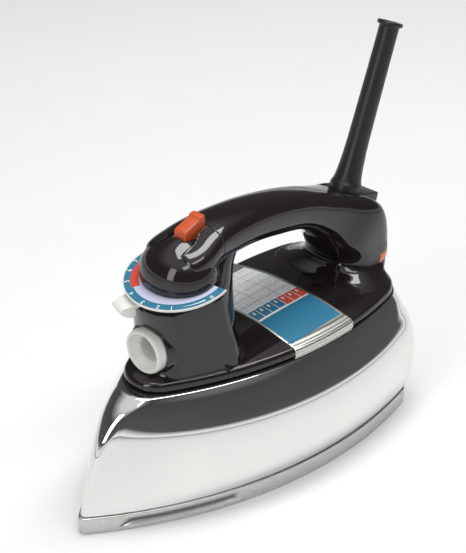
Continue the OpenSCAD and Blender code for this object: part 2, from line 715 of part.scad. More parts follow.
// ---- Front cap ----
// A dome on the dial with a neck that fills the space between the grip's two lobes
cap_t = 2.2;
module cap_dome(t, low = 0.35) {
    dial_frame() rotate_extrude($fn = fine) polygon([
        [0, low], [21.4 - t, low], [21.6 - t, 3], [20.6 - t, 7 - t / 2],
        [17.8 - t, 10 - t], [13 - t, 12 - t], [0, 13.6 - t]]);
}
module cap_neck(t) {
    translate([0, neck_w / 2 - t, 0]) rotate([90, 0, 0]) linear_extrude(neck_w - 2 * t) polygon([
        [leg_face - t, floor_z + 3], [45 - t, floor_z + 3], [45 - t, foot_z], [44 - t, foot_z + 5 - t],
        [40 - t, foot_z + 8.5 - t], [35 - t, foot_z + 10 - t], [leg_face - t, foot_z + 10 - t]]);
}
module dial_cap() color([0.09, 0.08, 0.09]) {
    difference() {
        union() {
            difference() {
                union() {
                    cap_dome(0);
                    cap_neck(0);
                }
                cap_dome(cap_t, -through);
                cap_neck(cap_t);
            }
            intersection() {
                cap_dome(cap_t / 2);
                translate([leg_face, -25, floor_z]) cube([30, 50, 1.6]);
            }
        }
        foot_space();
        peg(rod_x, rod_y, floor_z - through, floor_z + 3, rod_r + slip);
        difference() {
            grip_form(-seat, 0, 4.5, 12);
            neck_space(0);
        }
        translate([leg_face + seat - 100, -60, dial_z - 40]) cube([100, 120, 100]);
    }
}

// ---- Fasteners, post fittings and guard ----
module handle_bolts() color([0.55, 0.55, 0.57]) {
    web_top = housing_top + 8.4;
    peg(rear_bolt_x, 0, sole_h + 2, web_top, bolt_r);
    peg(rear_bolt_x, 0, web_top, web_top + 2.6, bolt_r * 1.9);
    peg(front_bolt_x, 0, roof_in - 2.6, roof_in, bolt_r * 1.9);
    peg(front_bolt_x, 0, roof_in - seat, housing_top + 14, bolt_r);
}

module rear_cover() color([0.10, 0.09, 0.10]) {
    difference() {
        grip_form(0, 8, 12, 16);
        grip_form(wall, 8, 12, 12);
        translate([post_seam - seat, -60, 0]) cube([200, 120, 200]);
        lamp_slot(seat);
        translate([post_seam - 20, -7, lamp_z - 1.5]) cube([25, 14, 3]);
        guard_pocket();
        translate([rear_x - 30, 0, lamp_z + 11]) rotate([0, 90, 0])
            cylinder(h = 40, r = 1.6 + seat, $fn = fine);
    }
}
module rear_cover_screw() color([0.55, 0.55, 0.57]) {
    translate([rear_x - 16, 0, lamp_z + 11]) rotate([0, 90, 0])
        cylinder(h = 14, r = 1.6, $fn = fine);
    translate([rear_x - 16, 0, lamp_z + 11]) rotate([0, 90, 0])
        cylinder(h = 1.2, r = 3, $fn = fine);
}

module terminal_block() color([0.88, 0.86, 0.80]) {
    difference() {
        translate([block_x - 6, -13, block_z]) cube([12, 26, 9]);
        for (side = [-1, 1]) peg(block_x, side * 9, block_z - 1, block_z + 20, 1.6);
    }
}

// Two leads run from the terminal block down to the element's pins
module lead_wires() color([0.75, 0.73, 0.68]) {
    for (side = [-1, 1]) {
        p = leg_end(side);
        pin = [p[0] + 4, p[1] - side, shield_z + 9 + 1.4];
        mid = [block_x, side * lead_y, tank_top - 10];
        roof = [block_x, side * lead_y, housing_top + 9];
        top = [block_x, side * 9, block_z - 1.4];
        run(pin, mid, 1.3);
        run(mid, roof, 1.3);
        run(roof, top, 1.3);
    }
}
module run(a, b, r) {
    d = b - a;
    translate(a) sphere(r = r + 0.3, $fn = 24);
    translate(b) sphere(r = r + 0.3, $fn = 24);
    translate(a) rotate([0, acos(d[2] / norm(d)), atan2(d[1], d[0])])
        cylinder(h = norm(d), r = r, $fn = 24);
}

module lamp_lens() color([0.93, 0.42, 0.20]) {
    intersection() {
        grip_form(-0.25, 8, 12, 16);
        lamp_slot(0);
    }
}
module neon_lamp() color([0.95, 0.75, 0.60]) {
    translate([rear_x - 6, -8, lamp_z]) rotate([-90, 0, 0]) cylinder(h = 16, r = 2.2, $fn = fine);
}

sleeve_profile = [
    [0, -20], [8.9, -20], [8.9, 4], [8.2, 5.2], [7.3, 12], [6.5, 22], [6.0, 45],
    [5.7, sleeve_l - 2.2], [7.1, sleeve_l - 2], [7.3, sleeve_l - 1], [7.1, sleeve_l],
    [0, sleeve_l]];
module sleeve_frame() {
    translate([guard_x - 9.5, 0, guard_top - 3]) rotate([0, -sleeve_lean, 0]) children();
}
module cord_guard() color([0.16, 0.16, 0.16]) {
    difference() {
        union() {
            guard_frame() translate([-guard_l, -guard_w / 2, -18])
                cube([guard_l, guard_w, 18]);
            sleeve_frame() intersection() {
                rotate_extrude($fn = fine) polygon(sleeve_profile);
                translate([-20, -20, -4]) cube([40, 40, sleeve_l + 10]);
            }
        }
        sleeve_frame() translate([0, 0, -40]) cylinder(h = sleeve_l + 60, r = cord_bore_r,
            $fn = fine);
        guard_frame() translate([-guard_l - 1, -guard_w, -30]) cube([guard_l + 2, guard_w * 2, 13]);
    }
}
module cord_clamp() color([0.85, 0.84, 0.80]) {
    guard_frame() difference() {
        translate([-guard_l + 3, -9, -22]) cube([guard_l - 8, 18, 4]);
        translate([-guard_l / 2, 0, -30]) cylinder(h = 20, r = 4.2, $fn = fine);
    }
}

soleplate();
heating_element();
element_pins();
chamber_cover();
cover_screws();
thermostat_base();
bimetal_blade();
contact_blades();
spindle();
heat_shield();
shell();
shell_screws();
water_tank();
valve_jet();
rod_seal();
valve_rod();
valve_spring();
spring_clip();
steam_button();
tank_housing();
lip_trim();
fill_funnel();
funnel_seal();
label_plate();
dial_scale();
dial_rim();
temperature_lever();
lever_clip();
handle();
dial_cap();
handle_bolts();
rear_cover();
rear_cover_screw();
terminal_block();
lead_wires();
lamp_lens();
neon_lamp();
cord_guard();
cord_clamp();
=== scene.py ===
# Steam iron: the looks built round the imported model.
# Sizes are in millimetres inside the functions and become metres when a mesh is made.
import math
import bpy
import bmesh
import numpy as np
from mathutils import Matrix, Vector
from mathutils.geometry import delaunay_2d_cdt


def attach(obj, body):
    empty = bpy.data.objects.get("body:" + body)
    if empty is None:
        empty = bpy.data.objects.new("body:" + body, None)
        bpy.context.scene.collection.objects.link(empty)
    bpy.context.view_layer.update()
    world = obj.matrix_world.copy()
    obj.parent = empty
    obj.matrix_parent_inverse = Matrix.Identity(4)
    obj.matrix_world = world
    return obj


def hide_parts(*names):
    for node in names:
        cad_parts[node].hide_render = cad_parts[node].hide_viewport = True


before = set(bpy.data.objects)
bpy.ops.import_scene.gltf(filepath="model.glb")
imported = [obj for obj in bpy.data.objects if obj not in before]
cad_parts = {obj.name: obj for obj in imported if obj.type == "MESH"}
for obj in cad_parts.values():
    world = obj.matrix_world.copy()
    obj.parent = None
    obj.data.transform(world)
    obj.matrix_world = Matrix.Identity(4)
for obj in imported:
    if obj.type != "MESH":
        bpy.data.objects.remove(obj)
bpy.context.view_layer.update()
print("frame loaded:", len(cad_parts), "nodes")

# ---- Making meshes ----
# Puts points and faces into a mesh object at the origin, joins doubled points,
# turns the faces outwards, and lets the piece ride on its body.
def makePiece(name, points, faces, material, body="root", slot=None, replaces=(), uv=None,
              weld=True, smooth=True, outward=True):
    mesh = bpy.data.meshes.new(name)
    mesh.from_pydata((np.asarray(points) * 0.001).tolist(), [], faces)
    if uv is not None:
        layer = mesh.uv_layers.new(name="surface")
        corner = np.empty(len(mesh.loops), np.int64)
        mesh.loops.foreach_get("vertex_index", corner)
        layer.data.foreach_set("uv", np.asarray(uv, float)[corner].ravel())
    shape = bmesh.new()
    shape.from_mesh(mesh)
    if weld:
        bmesh.ops.remove_doubles(shape, verts=shape.verts, dist=2e-6)
        bmesh.ops.dissolve_degenerate(shape, edges=shape.edges, dist=1e-7)
    if outward:
        bmesh.ops.recalc_face_normals(shape, faces=shape.faces)
    shape.to_mesh(mesh)
    shape.free()
    mesh.polygons.foreach_set("use_smooth", [smooth] * len(mesh.polygons))
    mesh.materials.append(material)
    piece = bpy.data.objects.new(name, mesh)
    bpy.context.scene.collection.objects.link(piece)
    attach(piece, body)
    if replaces:
        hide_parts(*replaces)
    return piece

# Faces of a grid of rows and columns: each cell is a quad. A loop joins the last column
# to the first, and a shut end gets one point at the middle of its row with a fan to it.
def gridFaces(grid, loop=True, shut=(False, False)):
    rows, cols = grid.shape[:2]
    r, c = np.meshgrid(np.arange(rows - 1), np.arange(cols if loop else cols - 1), indexing="ij")
    after = (c + 1) % cols
    faces = np.stack([r * cols + c, r * cols + after, (r + 1) * cols + after, (r + 1) * cols + c],
                     -1).reshape(-1, 4).tolist()
    points = grid.reshape(-1, 3)
    for end, row in ((0, 0), (1, rows - 1)):
        if shut[end]:
            middle = len(points)
            points = np.vstack([points, grid[row].mean(0)])
            side = np.arange(cols) + row * cols
            faces += np.stack([side, np.roll(side, -1), np.full(cols, middle)], -1).tolist()
    return points, faces

def gridPiece(name, grid, material, loop=True, shut=(False, False), **more):
    points, faces = gridFaces(grid, loop, shut)
    return makePiece(name, points, faces, material, **more)

# Several meshes in one
def joinMeshes(*parts):
    count, points, faces = 0, [], []
    for somePoints, someFaces in parts:
        points.append(somePoints)
        faces += [[i + count for i in f] for f in someFaces]
        count += len(somePoints)
    return np.vstack(points), faces

# A mesh's points as an array and its faces as lists
def meshArrays(mesh):
    points = np.empty(len(mesh.vertices) * 3)
    mesh.vertices.foreach_get("co", points)
    corners, starts = np.empty(len(mesh.loops), np.int64), np.empty(len(mesh.polygons), np.int64)
    mesh.loops.foreach_get("vertex_index", corners)
    mesh.polygons.foreach_get("loop_start", starts)
    return points.reshape(-1, 3), [f.tolist() for f in np.split(corners, starts[1:])]

# Cuts a closed mesh by the plane at x, keeps the side towards +X or -X, and fills the cut
def keepSide(points, faces, x, side):
    mesh = bpy.data.meshes.new("cut")
    mesh.from_pydata(np.asarray(points).tolist(), [], faces)
    shape = bmesh.new()
    shape.from_mesh(mesh)
    every = shape.verts[:] + shape.edges[:] + shape.faces[:]
    cut = bmesh.ops.bisect_plane(shape, geom=every, dist=1e-4, plane_co=(x, 0, 0), plane_no=(-side, 0, 0),
                                 clear_outer=True)
    rim = [e for e in cut["geom_cut"] if isinstance(e, bmesh.types.BMEdge)]
    bmesh.ops.contextual_create(shape, geom=rim)
    shape.to_mesh(mesh)
    shape.free()
    kept = meshArrays(mesh)
    bpy.data.meshes.remove(mesh)
    return kept

# A smooth curve through the rows of a table, at places counted in rows (Catmull-Rom)
def alongRows(table, places):
    table = np.asarray(table, float)
    last = len(table) - 1
    k = np.clip(np.floor(places).astype(int), 0, last - 1)
    t = (np.asarray(places) - k)[:, None]
    a, b = table[np.maximum(k - 1, 0)], table[k]
    c, d = table[k + 1], table[np.minimum(k + 2, last)]
    return 0.5 * (2 * b + (c - a) * t + (2 * a - 5 * b + 4 * c - d) * t ** 2
                  + (3 * b - a - 3 * c + d) * t ** 3)

def smoothStep(x, low, high):
    t = np.clip((x - low) / (high - low), 0, 1)
    return t * t * (3 - 2 * t)

# The larger of two heights, rounded where they meet over about blend millimetres
def softMax(a, b, blend):
    return blend * np.logaddexp(a / blend, b / blend)

# Boat-shaped outline: a nose arc, a long bow arc and a rear corner arc, each touching the
# next, mirrored to the other side and closed straight across the back.
outlineSteps = {"nose": 8, "bow": 64, "corner": 16, "back": 10}
def boatOutline(nose, rear, half, noseR, cornerR, widest=-50.0):
    front = nose - noseR - widest
    bow = (front ** 2 + half ** 2 - noseR ** 2) / (2 * (half - noseR))
    back = rear + cornerR - widest
    cornerY = math.sqrt((bow - cornerR) ** 2 - back ** 2) - (bow - half)
    turn = math.atan2(bow - half, front)
    join = math.atan2(cornerY + bow - half, back)
    a = np.linspace(0, turn, outlineSteps["nose"], endpoint=False)
    b = np.linspace(turn, join, outlineSteps["bow"], endpoint=False)
    c = np.linspace(join, math.pi, outlineSteps["corner"])
    x = np.concatenate([nose - noseR + noseR * np.cos(a), widest + bow * np.cos(b),
                        rear + cornerR + cornerR * np.cos(c)])
    y = np.concatenate([noseR * np.sin(a), bow * np.sin(b) - (bow - half),
                        cornerY + cornerR * np.sin(c)])
    across = np.linspace(y[-1], -y[-1], outlineSteps["back"] + 2)[1:-1]
    return np.concatenate([np.stack([x, y], -1),
                           np.stack([np.full(len(across), x[-1]), across], -1),
                           np.stack([x, -y], -1)[:0:-1]])

# Rings of boat outlines from rows of height, nose, rear, half width and two corner radii
def boatRings(rows):
    return np.stack([np.column_stack([boatOutline(*row[1:6]), np.full(len(boatOutline(*row[1:6])),
                     row[0])]) for row in rows])

# A closed outline from a squared circle: power 2 is an ellipse, larger is squarer
def squaredCircle(count, power):
    a = np.arange(count) * 2 * math.pi / count
    return (np.sign(np.cos(a)) * np.abs(np.cos(a)) ** (2 / power),
            np.sign(np.sin(a)) * np.abs(np.sin(a)) ** (2 / power))

# A profile of (radius, height) points turned about the Z axis
def turned(profile, steps=96, start=0.0, sweep=2 * math.pi):
    profile = np.asarray(profile, float)
    closed = sweep > 6.28
    a = start + np.linspace(0, sweep, steps, endpoint=not closed)
    return np.stack([profile[:, :1] * np.cos(a), profile[:, :1] * np.sin(a),
                     np.repeat(profile[:, 1:2], len(a), 1)], -1)

# Rounds the corners of an open profile by cutting them twice (Chaikin's way), ends kept
def rounded(profile, times=2):
    p = np.asarray(profile, float)
    for _ in range(times):
        near, far = 0.75 * p[:-1] + 0.25 * p[1:], 0.25 * p[:-1] + 0.75 * p[1:]
        p = np.vstack([p[:1], np.stack([near, far], 1).reshape(-1, p.shape[1])[1:-1], p[-1:]])
    return p

# A convex outline pushed through a thickness, for pieces that a bevel finishes
def pushed(outline, low, high):
    outline = np.asarray(outline, float)
    n = len(outline)
    points = np.vstack([np.insert(outline, 1, low, axis=1), np.insert(outline, 1, high, axis=1)])
    side = np.arange(n)
    after = (side + 1) % n
    faces = np.stack([side, after, after + n, side + n], -1).tolist()
    return points, faces + [side.tolist()[::-1], (side + n).tolist()]

def addBevel(piece, width, segments=3, angle=30):
    bevel = piece.modifiers.new("edges", "BEVEL")
    bevel.width = width * 0.001
    bevel.segments = segments
    bevel.limit_method = "ANGLE"
    bevel.angle_limit = math.radians(angle)
    bevel.harden_normals = False
    return bevel

def matrixPoints(grid, matrix):
    m = np.array(matrix)
    return grid @ m[:3, :3].T + m[:3, 3]

# ---- Finishes ----
# A number socket on a group: with a value it goes in, without one it comes out
def floatSocket(group, name, value=None):
    way = "OUTPUT" if value is None else "INPUT"
    socket = group.interface.new_socket(name=name, in_out=way, socket_type="NodeSocketFloat")
    if value is not None:
        socket.default_value = value

def socketSet(shader, **values):
    for name, value in values.items():
        shader.inputs[name.replace("_", " ")].default_value = value

# Group: moulding texture. A broad noise moves the roughness between two values and a fine
# noise gives the height of orange peel.
def buildMouldGrain():
    group = bpy.data.node_groups.new("mouldGrain", "ShaderNodeTree")
    for name, value in (("Broad scale", 40.0), ("Fine scale", 900.0), ("Smooth", 0.05), ("Rough", 0.12)):
        floatSocket(group, name, value)
    floatSocket(group, "Roughness")
    floatSocket(group, "Height")
    nodes, links = group.nodes, group.links
    entry, leave = nodes.new("NodeGroupInput"), nodes.new("NodeGroupOutput")
    place = nodes.new("ShaderNodeTexCoord")
    broad, fine = nodes.new("ShaderNodeTexNoise"), nodes.new("ShaderNodeTexNoise")
    broad.inputs["Detail"].default_value = 4
    fine.inputs["Detail"].default_value = 1
    spread = nodes.new("ShaderNodeMapRange")
    spread.inputs["From Min"].default_value = 0.35
    spread.inputs["From Max"].default_value = 0.7
    for noise, scale in ((broad, "Broad scale"), (fine, "Fine scale")):
        links.new(place.outputs["Object"], noise.inputs["Vector"])
        links.new(entry.outputs[scale], noise.inputs["Scale"])
    links.new(broad.outputs["Fac"], spread.inputs["Value"])
    links.new(entry.outputs["Smooth"], spread.inputs["To Min"])
    links.new(entry.outputs["Rough"], spread.inputs["To Max"])
    links.new(spread.outputs["Result"], leave.inputs["Roughness"])
    links.new(fine.outputs["Fac"], leave.inputs["Height"])
    return group

# Group: fine scratches. Noise stretched along one way, thinned to streaks.
def buildFineScratches():
    group = bpy.data.node_groups.new("fineScratches", "ShaderNodeTree")
    vector = group.interface.new_socket(name="Stretch", in_out="INPUT", socket_type="NodeSocketVector")
    vector.default_value = (60, 1400, 1400)
    for name, value in (("Low", 0.4), ("High", 0.75)):
        floatSocket(group, name, value)
    floatSocket(group, "Streaks")
    nodes, links = group.nodes, group.links
    entry, leave = nodes.new("NodeGroupInput"), nodes.new("NodeGroupOutput")
    place = nodes.new("ShaderNodeTexCoord")
    stretch = nodes.new("ShaderNodeVectorMath")
    stretch.operation = "MULTIPLY"
    noise = nodes.new("ShaderNodeTexNoise")
    noise.inputs["Scale"].default_value = 1
    noise.inputs["Detail"].default_value = 3
    spread = nodes.new("ShaderNodeMapRange")
    links.new(place.outputs["Object"], stretch.inputs[0])
    links.new(entry.outputs["Stretch"], stretch.inputs[1])
    links.new(stretch.outputs["Vector"], noise.inputs["Vector"])
    links.new(noise.outputs["Fac"], spread.inputs["Value"])
    links.new(entry.outputs["Low"], spread.inputs["From Min"])
    links.new(entry.outputs["High"], spread.inputs["From Max"])
    links.new(spread.outputs["Result"], leave.inputs["Streaks"])
    return group

mouldGrain = buildMouldGrain()
fineScratches = buildFineScratches()

def newMaterial(name):
    material = bpy.data.materials.new(name)
    material.use_nodes = True
    tree = material.node_tree
    return material, tree.nodes, tree.links, tree.nodes["Principled BSDF"]

# A mix of two colours by a factor, and a faint bump whose height is linked later
def twoColours(nodes, colour, shade):
    mix = nodes.new("ShaderNodeMix")
    mix.data_type = "RGBA"
    mix.inputs["A"].default_value = (*colour, 1)
    mix.inputs["B"].default_value = (*shade, 1)
    return mix
def faintBump(nodes, strength):
    raised = nodes.new("ShaderNodeBump")
    raised.inputs["Strength"].default_value = strength
    raised.inputs["Distance"].default_value = 0.0001
    return raised

# A moulded finish: grain drives roughness and a bump, and a second noise shades the colour
def mouldedFinish(name, colour, shade, smooth, rough, bump, broad=40, fine=900, coat=0.0, ior=1.5):
    material, nodes, links, shader = newMaterial(name)
    socketSet(shader, IOR=ior, Coat_Weight=coat, Coat_Roughness=0.04)
    grain = nodes.new("ShaderNodeGroup")
    grain.node_tree = mouldGrain
    for key, value in (("Broad scale", broad), ("Fine scale", fine), ("Smooth", smooth), ("Rough", rough)):
        grain.inputs[key].default_value = value
    place, tone = nodes.new("ShaderNodeTexCoord"), nodes.new("ShaderNodeTexNoise")
    tone.inputs["Scale"].default_value = 25
    mix, raised = twoColours(nodes, colour, shade), faintBump(nodes, bump)
    links.new(place.outputs["Object"], tone.inputs["Vector"])
    links.new(tone.outputs["Fac"], mix.inputs["Factor"])
    links.new(mix.outputs["Result"], shader.inputs["Base Color"])
    links.new(grain.outputs["Roughness"], shader.inputs["Roughness"])
    links.new(grain.outputs["Height"], raised.inputs["Height"])
    links.new(raised.outputs["Normal"], shader.inputs["Normal"])
    return material

# A bare metal: streaks move the roughness, tint the colour a little and give a faint bump
def metalFinish(name, colour, shade, smooth, rough, stretch, bump=0.05, low=0.35, high=0.75):
    material, nodes, links, shader = newMaterial(name)
    socketSet(shader, Metallic=1.0)
    streaks = nodes.new("ShaderNodeGroup")
    streaks.node_tree = fineScratches
    streaks.inputs["Stretch"].default_value = stretch
    streaks.inputs["Low"].default_value = low
    streaks.inputs["High"].default_value = high
    spread = nodes.new("ShaderNodeMapRange")
    spread.inputs["To Min"].default_value = smooth
    spread.inputs["To Max"].default_value = rough
    mix, raised = twoColours(nodes, colour, shade), faintBump(nodes, bump)
    links.new(streaks.outputs["Streaks"], spread.inputs["Value"])
    links.new(spread.outputs["Result"], shader.inputs["Roughness"])
    links.new(streaks.outputs["Streaks"], mix.inputs["Factor"])
    links.new(mix.outputs["Result"], shader.inputs["Base Color"])
    links.new(streaks.outputs["Streaks"], raised.inputs["Height"])
    links.new(raised.outputs["Normal"], shader.inputs["Normal"])
    return material

blackPhenolic = mouldedFinish("blackPhenolic", (0.012, 0.009, 0.009), (0.018, 0.013, 0.013),
                              0.035, 0.075, 0.012, 30, 500, ior=1.55)
orangePlastic = mouldedFinish("orangePlastic", (0.60, 0.10, 0.028), (0.54, 0.085, 0.024), 0.26, 0.38, 0.05)
ivoryPlastic = mouldedFinish("ivoryPlastic", (0.80, 0.79, 0.75), (0.74, 0.73, 0.69), 0.18, 0.3, 0.04)
guardRubber = mouldedFinish("guardRubber", (0.016, 0.016, 0.017), (0.011, 0.011, 0.012),
                            0.34, 0.46, 0.12, 60, 1400)
gasketRubber = mouldedFinish("gasketRubber", (0.012, 0.012, 0.012), (0.02, 0.02, 0.02), 0.45, 0.6, 0.1)
ceramicBody = mouldedFinish("ceramicBody", (0.72, 0.69, 0.62), (0.66, 0.63, 0.56),
                            0.5, 0.65, 0.15, 80, 2000)
leadSleeving = mouldedFinish("leadSleeving", (0.52, 0.49, 0.43), (0.45, 0.42, 0.37),
                             0.55, 0.7, 0.3, 80, 2500)
lampOrange = mouldedFinish("lampOrange", (0.85, 0.24, 0.10), (0.80, 0.17, 0.07), 0.12, 0.2, 0.02)
lampGlass = mouldedFinish("lampGlass", (0.80, 0.55, 0.42), (0.75, 0.48, 0.36), 0.06, 0.1, 0.01)
chromePlate = metalFinish("chromePlate", (0.80, 0.80, 0.77), (0.76, 0.76, 0.735),
                          0.015, 0.05, (25, 25, 25), 0.0, 0.3, 0.8)
soleAlloy = metalFinish("soleAlloy", (0.62, 0.62, 0.60), (0.52, 0.52, 0.51),
                        0.28, 0.40, (30, 900, 900), 0.06)
plainSteel = metalFinish("plainSteel", (0.56, 0.56, 0.58), (0.46, 0.46, 0.48), 0.28, 0.42, (500, 500, 90))
sheetSteel = metalFinish("sheetSteel", (0.62, 0.63, 0.65), (0.55, 0.56, 0.58), 0.2, 0.35, (40, 600, 600))
turnedBrass = metalFinish("turnedBrass", (0.72, 0.52, 0.24), (0.60, 0.42, 0.18), 0.22, 0.36, (800, 800, 60))
bronzeStrip = metalFinish("bronzeStrip", (0.66, 0.46, 0.28), (0.58, 0.38, 0.22), 0.28, 0.4, (40, 900, 900))
darkSheath = metalFinish("darkSheath", (0.24, 0.23, 0.23), (0.16, 0.15, 0.15), 0.42, 0.6, (200, 200, 200))

nodeFinishes = {
    "heating_element": darkSheath, "element_pins": turnedBrass, "chamber_cover": sheetSteel,
    "cover_screws": plainSteel, "thermostat_base": sheetSteel, "bimetal_blade": bronzeStrip,
    "contact_blades": bronzeStrip, "spindle": turnedBrass, "heat_shield": sheetSteel,
    "shell_screws": plainSteel, "water_tank": sheetSteel, "valve_jet": turnedBrass,
    "rod_seal": gasketRubber, "valve_rod": turnedBrass, "valve_spring": plainSteel,
    "spring_clip": plainSteel, "lip_trim": gasketRubber, "funnel_seal": gasketRubber,
    "lever_clip": plainSteel, "handle_bolts": plainSteel, "rear_cover_screw": plainSteel,
    "terminal_block": ceramicBody, "lead_wires": leadSleeving, "neon_lamp": lampGlass,
    "cord_clamp": ceramicBody}
for nodeName, finish in nodeFinishes.items():
    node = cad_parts[nodeName]
    node.data.materials.clear()
    node.data.materials.append(finish)
print("finishes made")

# ---- Soleplate ----
# The edge is a stack of boat outlines; the groove for buttons pulls the outline in between
# the nose block and its rear end; the face is flat, pierced by the steam ports.
sole = {"nose": 107.0, "rear": -107.0, "half": 57.0, "noseR": 3.5, "cornerR": 6.0, "thick": 10.0,
        "grooveIn": 2.3, "grooveLow": 2.8, "grooveHigh": 7.6, "grooveFront": 91.0, "grooveRear": 34.0,
        "portR": 1.6, "bevel": 0.7, "topIn": 12.0}
def buildSoleplate():
    s = sole
    high, b = s["thick"], s["bevel"]
    rows = [(0, b), (0.2 * b, 0.35 * b), (0.6 * b, 0.08 * b), (b, 0), (s["grooveLow"] - 0.2, 0),
            (s["grooveLow"], 0), (s["grooveLow"] + 0.05, 0), (s["grooveLow"] + 0.5, 0),
            (s["grooveHigh"] - 0.5, 0), (s["grooveHigh"] - 0.05, 0), (s["grooveHigh"], 0),
            (high - b, 0), (high - 0.5 * b, 0.1 * b), (high - 0.15 * b, 0.4 * b), (high, b),
            (high, s["topIn"])]
    rings = boatRings([(z, s["nose"] - t, s["rear"] + t, s["half"] - t, max(s["noseR"] - t, 1.2),
                        max(s["cornerR"] - t, 3.0)) for z, t in rows])
    inner = boatRings([(z, s["nose"] - 2.4 * s["grooveIn"], s["rear"], s["half"] - s["grooveIn"],
                        s["noseR"], s["cornerR"]) for z, t in rows])
    along = rings[:, :, 0]
    inGroove = smoothStep(along, s["grooveRear"] - 0.8, s["grooveRear"] + 0.8) \
        * (1 - smoothStep(along, s["grooveFront"] - 0.8, s["grooveFront"] + 0.8))
    level = np.zeros(len(rows))
    level[6:10] = 1
    pull = (inGroove * level[:, None])[:, :, None]
    rings = rings * (1 - pull) + inner * pull
    points, faces = gridFaces(rings)
    ports = [(s["nose"] - 60 - 13 * i, 0) for i in range(5)] \
        + [(s["nose"] - 68 - 14 * i, side * (7 + 1.6 * i)) for side in (-1, 1) for i in range(4)]
    a = np.arange(20) * 2 * math.pi / 20
    rims = [np.stack([x + s["portR"] * np.cos(a), y + s["portR"] * np.sin(a)], -1) for x, y in ports]
    outline = rings[0, :, :2]
    flat = np.vstack([outline] + rims)
    edges, start = [], 0
    for loopPoints in [outline] + rims:
        k = np.arange(len(loopPoints))
        edges += np.stack([k + start, (k + 1) % len(k) + start], -1).tolist()
        start += len(k)
    filled = delaunay_2d_cdt([Vector(p) for p in flat.tolist()], edges, [], 2, 1e-6)
    spots = np.array([tuple(p) for p in filled[0]])
    triangles = np.array([f for f in filled[2] if len(f) == 3])
    middle = spots[triangles].mean(1)
    clear = np.min(np.stack([np.hypot(middle[:, 0] - x, middle[:, 1] - y) for x, y in ports]), 0)
    triangles = triangles[clear > s["portR"] * 0.97] + len(points)
    points = np.vstack([points, np.column_stack([spots, np.zeros(len(spots))])])
    faces += triangles.tolist()
    depth = np.array([0.0, 4.5])
    for rim in rims:
        tube = np.stack([np.column_stack([rim, np.full(len(rim), z)]) for z in depth])
        tubePoints, tubeFaces = gridFaces(tube, shut=(False, True))
        faces += [[i + len(points) for i in f] for f in tubeFaces]
        points = np.vstack([points, tubePoints])
    roof, roofFaces = gridFaces(rings[-1:].repeat(2, 0), shut=(False, True))
    roof[len(roof) - 1, 2] = high
    faces += [[i + len(points) for i in f] for f in roofFaces]
    points = np.vstack([points, roof])
    return makePiece("soleplate_plate", points, faces, soleAlloy, slot="sole_alloy",
                     replaces=("soleplate",))
solePlate = buildSoleplate()
addBevel(solePlate, 0.12, 1, 50)
print("soleplate made")

# ---- Chromed shell ----
# Heights, nose, rear, half width and corner radii down the shell; the rows are joined by a
# smooth curve, and the top edge rolls over inwards under the housing.
shell = {"low": 10.6, "top": 70.0, "bulge": 4.5, "sheet": 0.9, "levels": 70}
def buildShell():
    low, rise, bulge = shell["low"], shell["top"] - shell["low"], shell["bulge"]
    table = [(0.00, 105.5, -108, 56.5, 3, 12), (0.10, 104, -112, 57 + 0.45 * bulge, 3.5, 16),
             (0.25, 101.5, -116, 57 + 0.85 * bulge, 4, 20), (0.42, 98.5, -119, 57 + bulge, 5, 24),
             (0.58, 95, -120.5, 57 + 0.85 * bulge, 6, 27), (0.72, 91, -120.5, 57 + 0.25 * bulge, 8, 29),
             (0.84, 86, -119.5, 53.5, 10, 30), (0.93, 80, -118, 49.5, 12, 29),
             (1.00, 73, -116.5, 45.5, 14, 28)]
    rows = alongRows(table, np.linspace(0, len(table) - 1, shell["levels"]))
    rows[:, 0] = low + rise * rows[:, 0]
    foot, brim = rows[0].copy(), rows[-1].copy()
    def inset(row, t, z):
        return (z, row[1] - t, row[2] + t, row[3] - t, max(row[4] - t, 1.5), max(row[5] - t, 3))
    start = [inset(foot, shell["sheet"], low + 4), inset(foot, shell["sheet"], low + 0.3),
             inset(foot, 0.5, low)]
    finish = [inset(brim, 0.9, shell["top"] + 0.35), inset(brim, 2, shell["top"] + 0.4),
              inset(brim, 9, shell["top"] + 0.3)]
    rings = boatRings(start + [tuple(r) for r in rows] + finish)
    return gridPiece("shell_chrome", rings, chromePlate, slot="chrome", replaces=("shell",))
buildShell()
print("shell made")

# ---- Housing ----
# The lip is a stepped stack of boat outlines. Its top is a low dome: the height falls with
# the distance from the middle, measured as a share of the way to the lip.
housing = {"lipZ": 70.8, "topZ": 76.8, "rise": 5.6, "nose": 67.0, "rear": -116.0, "half": 45.0,
           "noseR": 18.0, "cornerR": 27.0, "middleX": -20.0, "power": 1.8}
lipOutline = boatOutline(housing["nose"] - 2.4, housing["rear"] + 2, housing["half"] - 2.6, 17, 25)
lipAngles = np.unwrap(np.arctan2(lipOutline[:, 1], lipOutline[:, 0] - housing["middleX"]))
lipReach = np.hypot(lipOutline[:, 1], lipOutline[:, 0] - housing["middleX"])
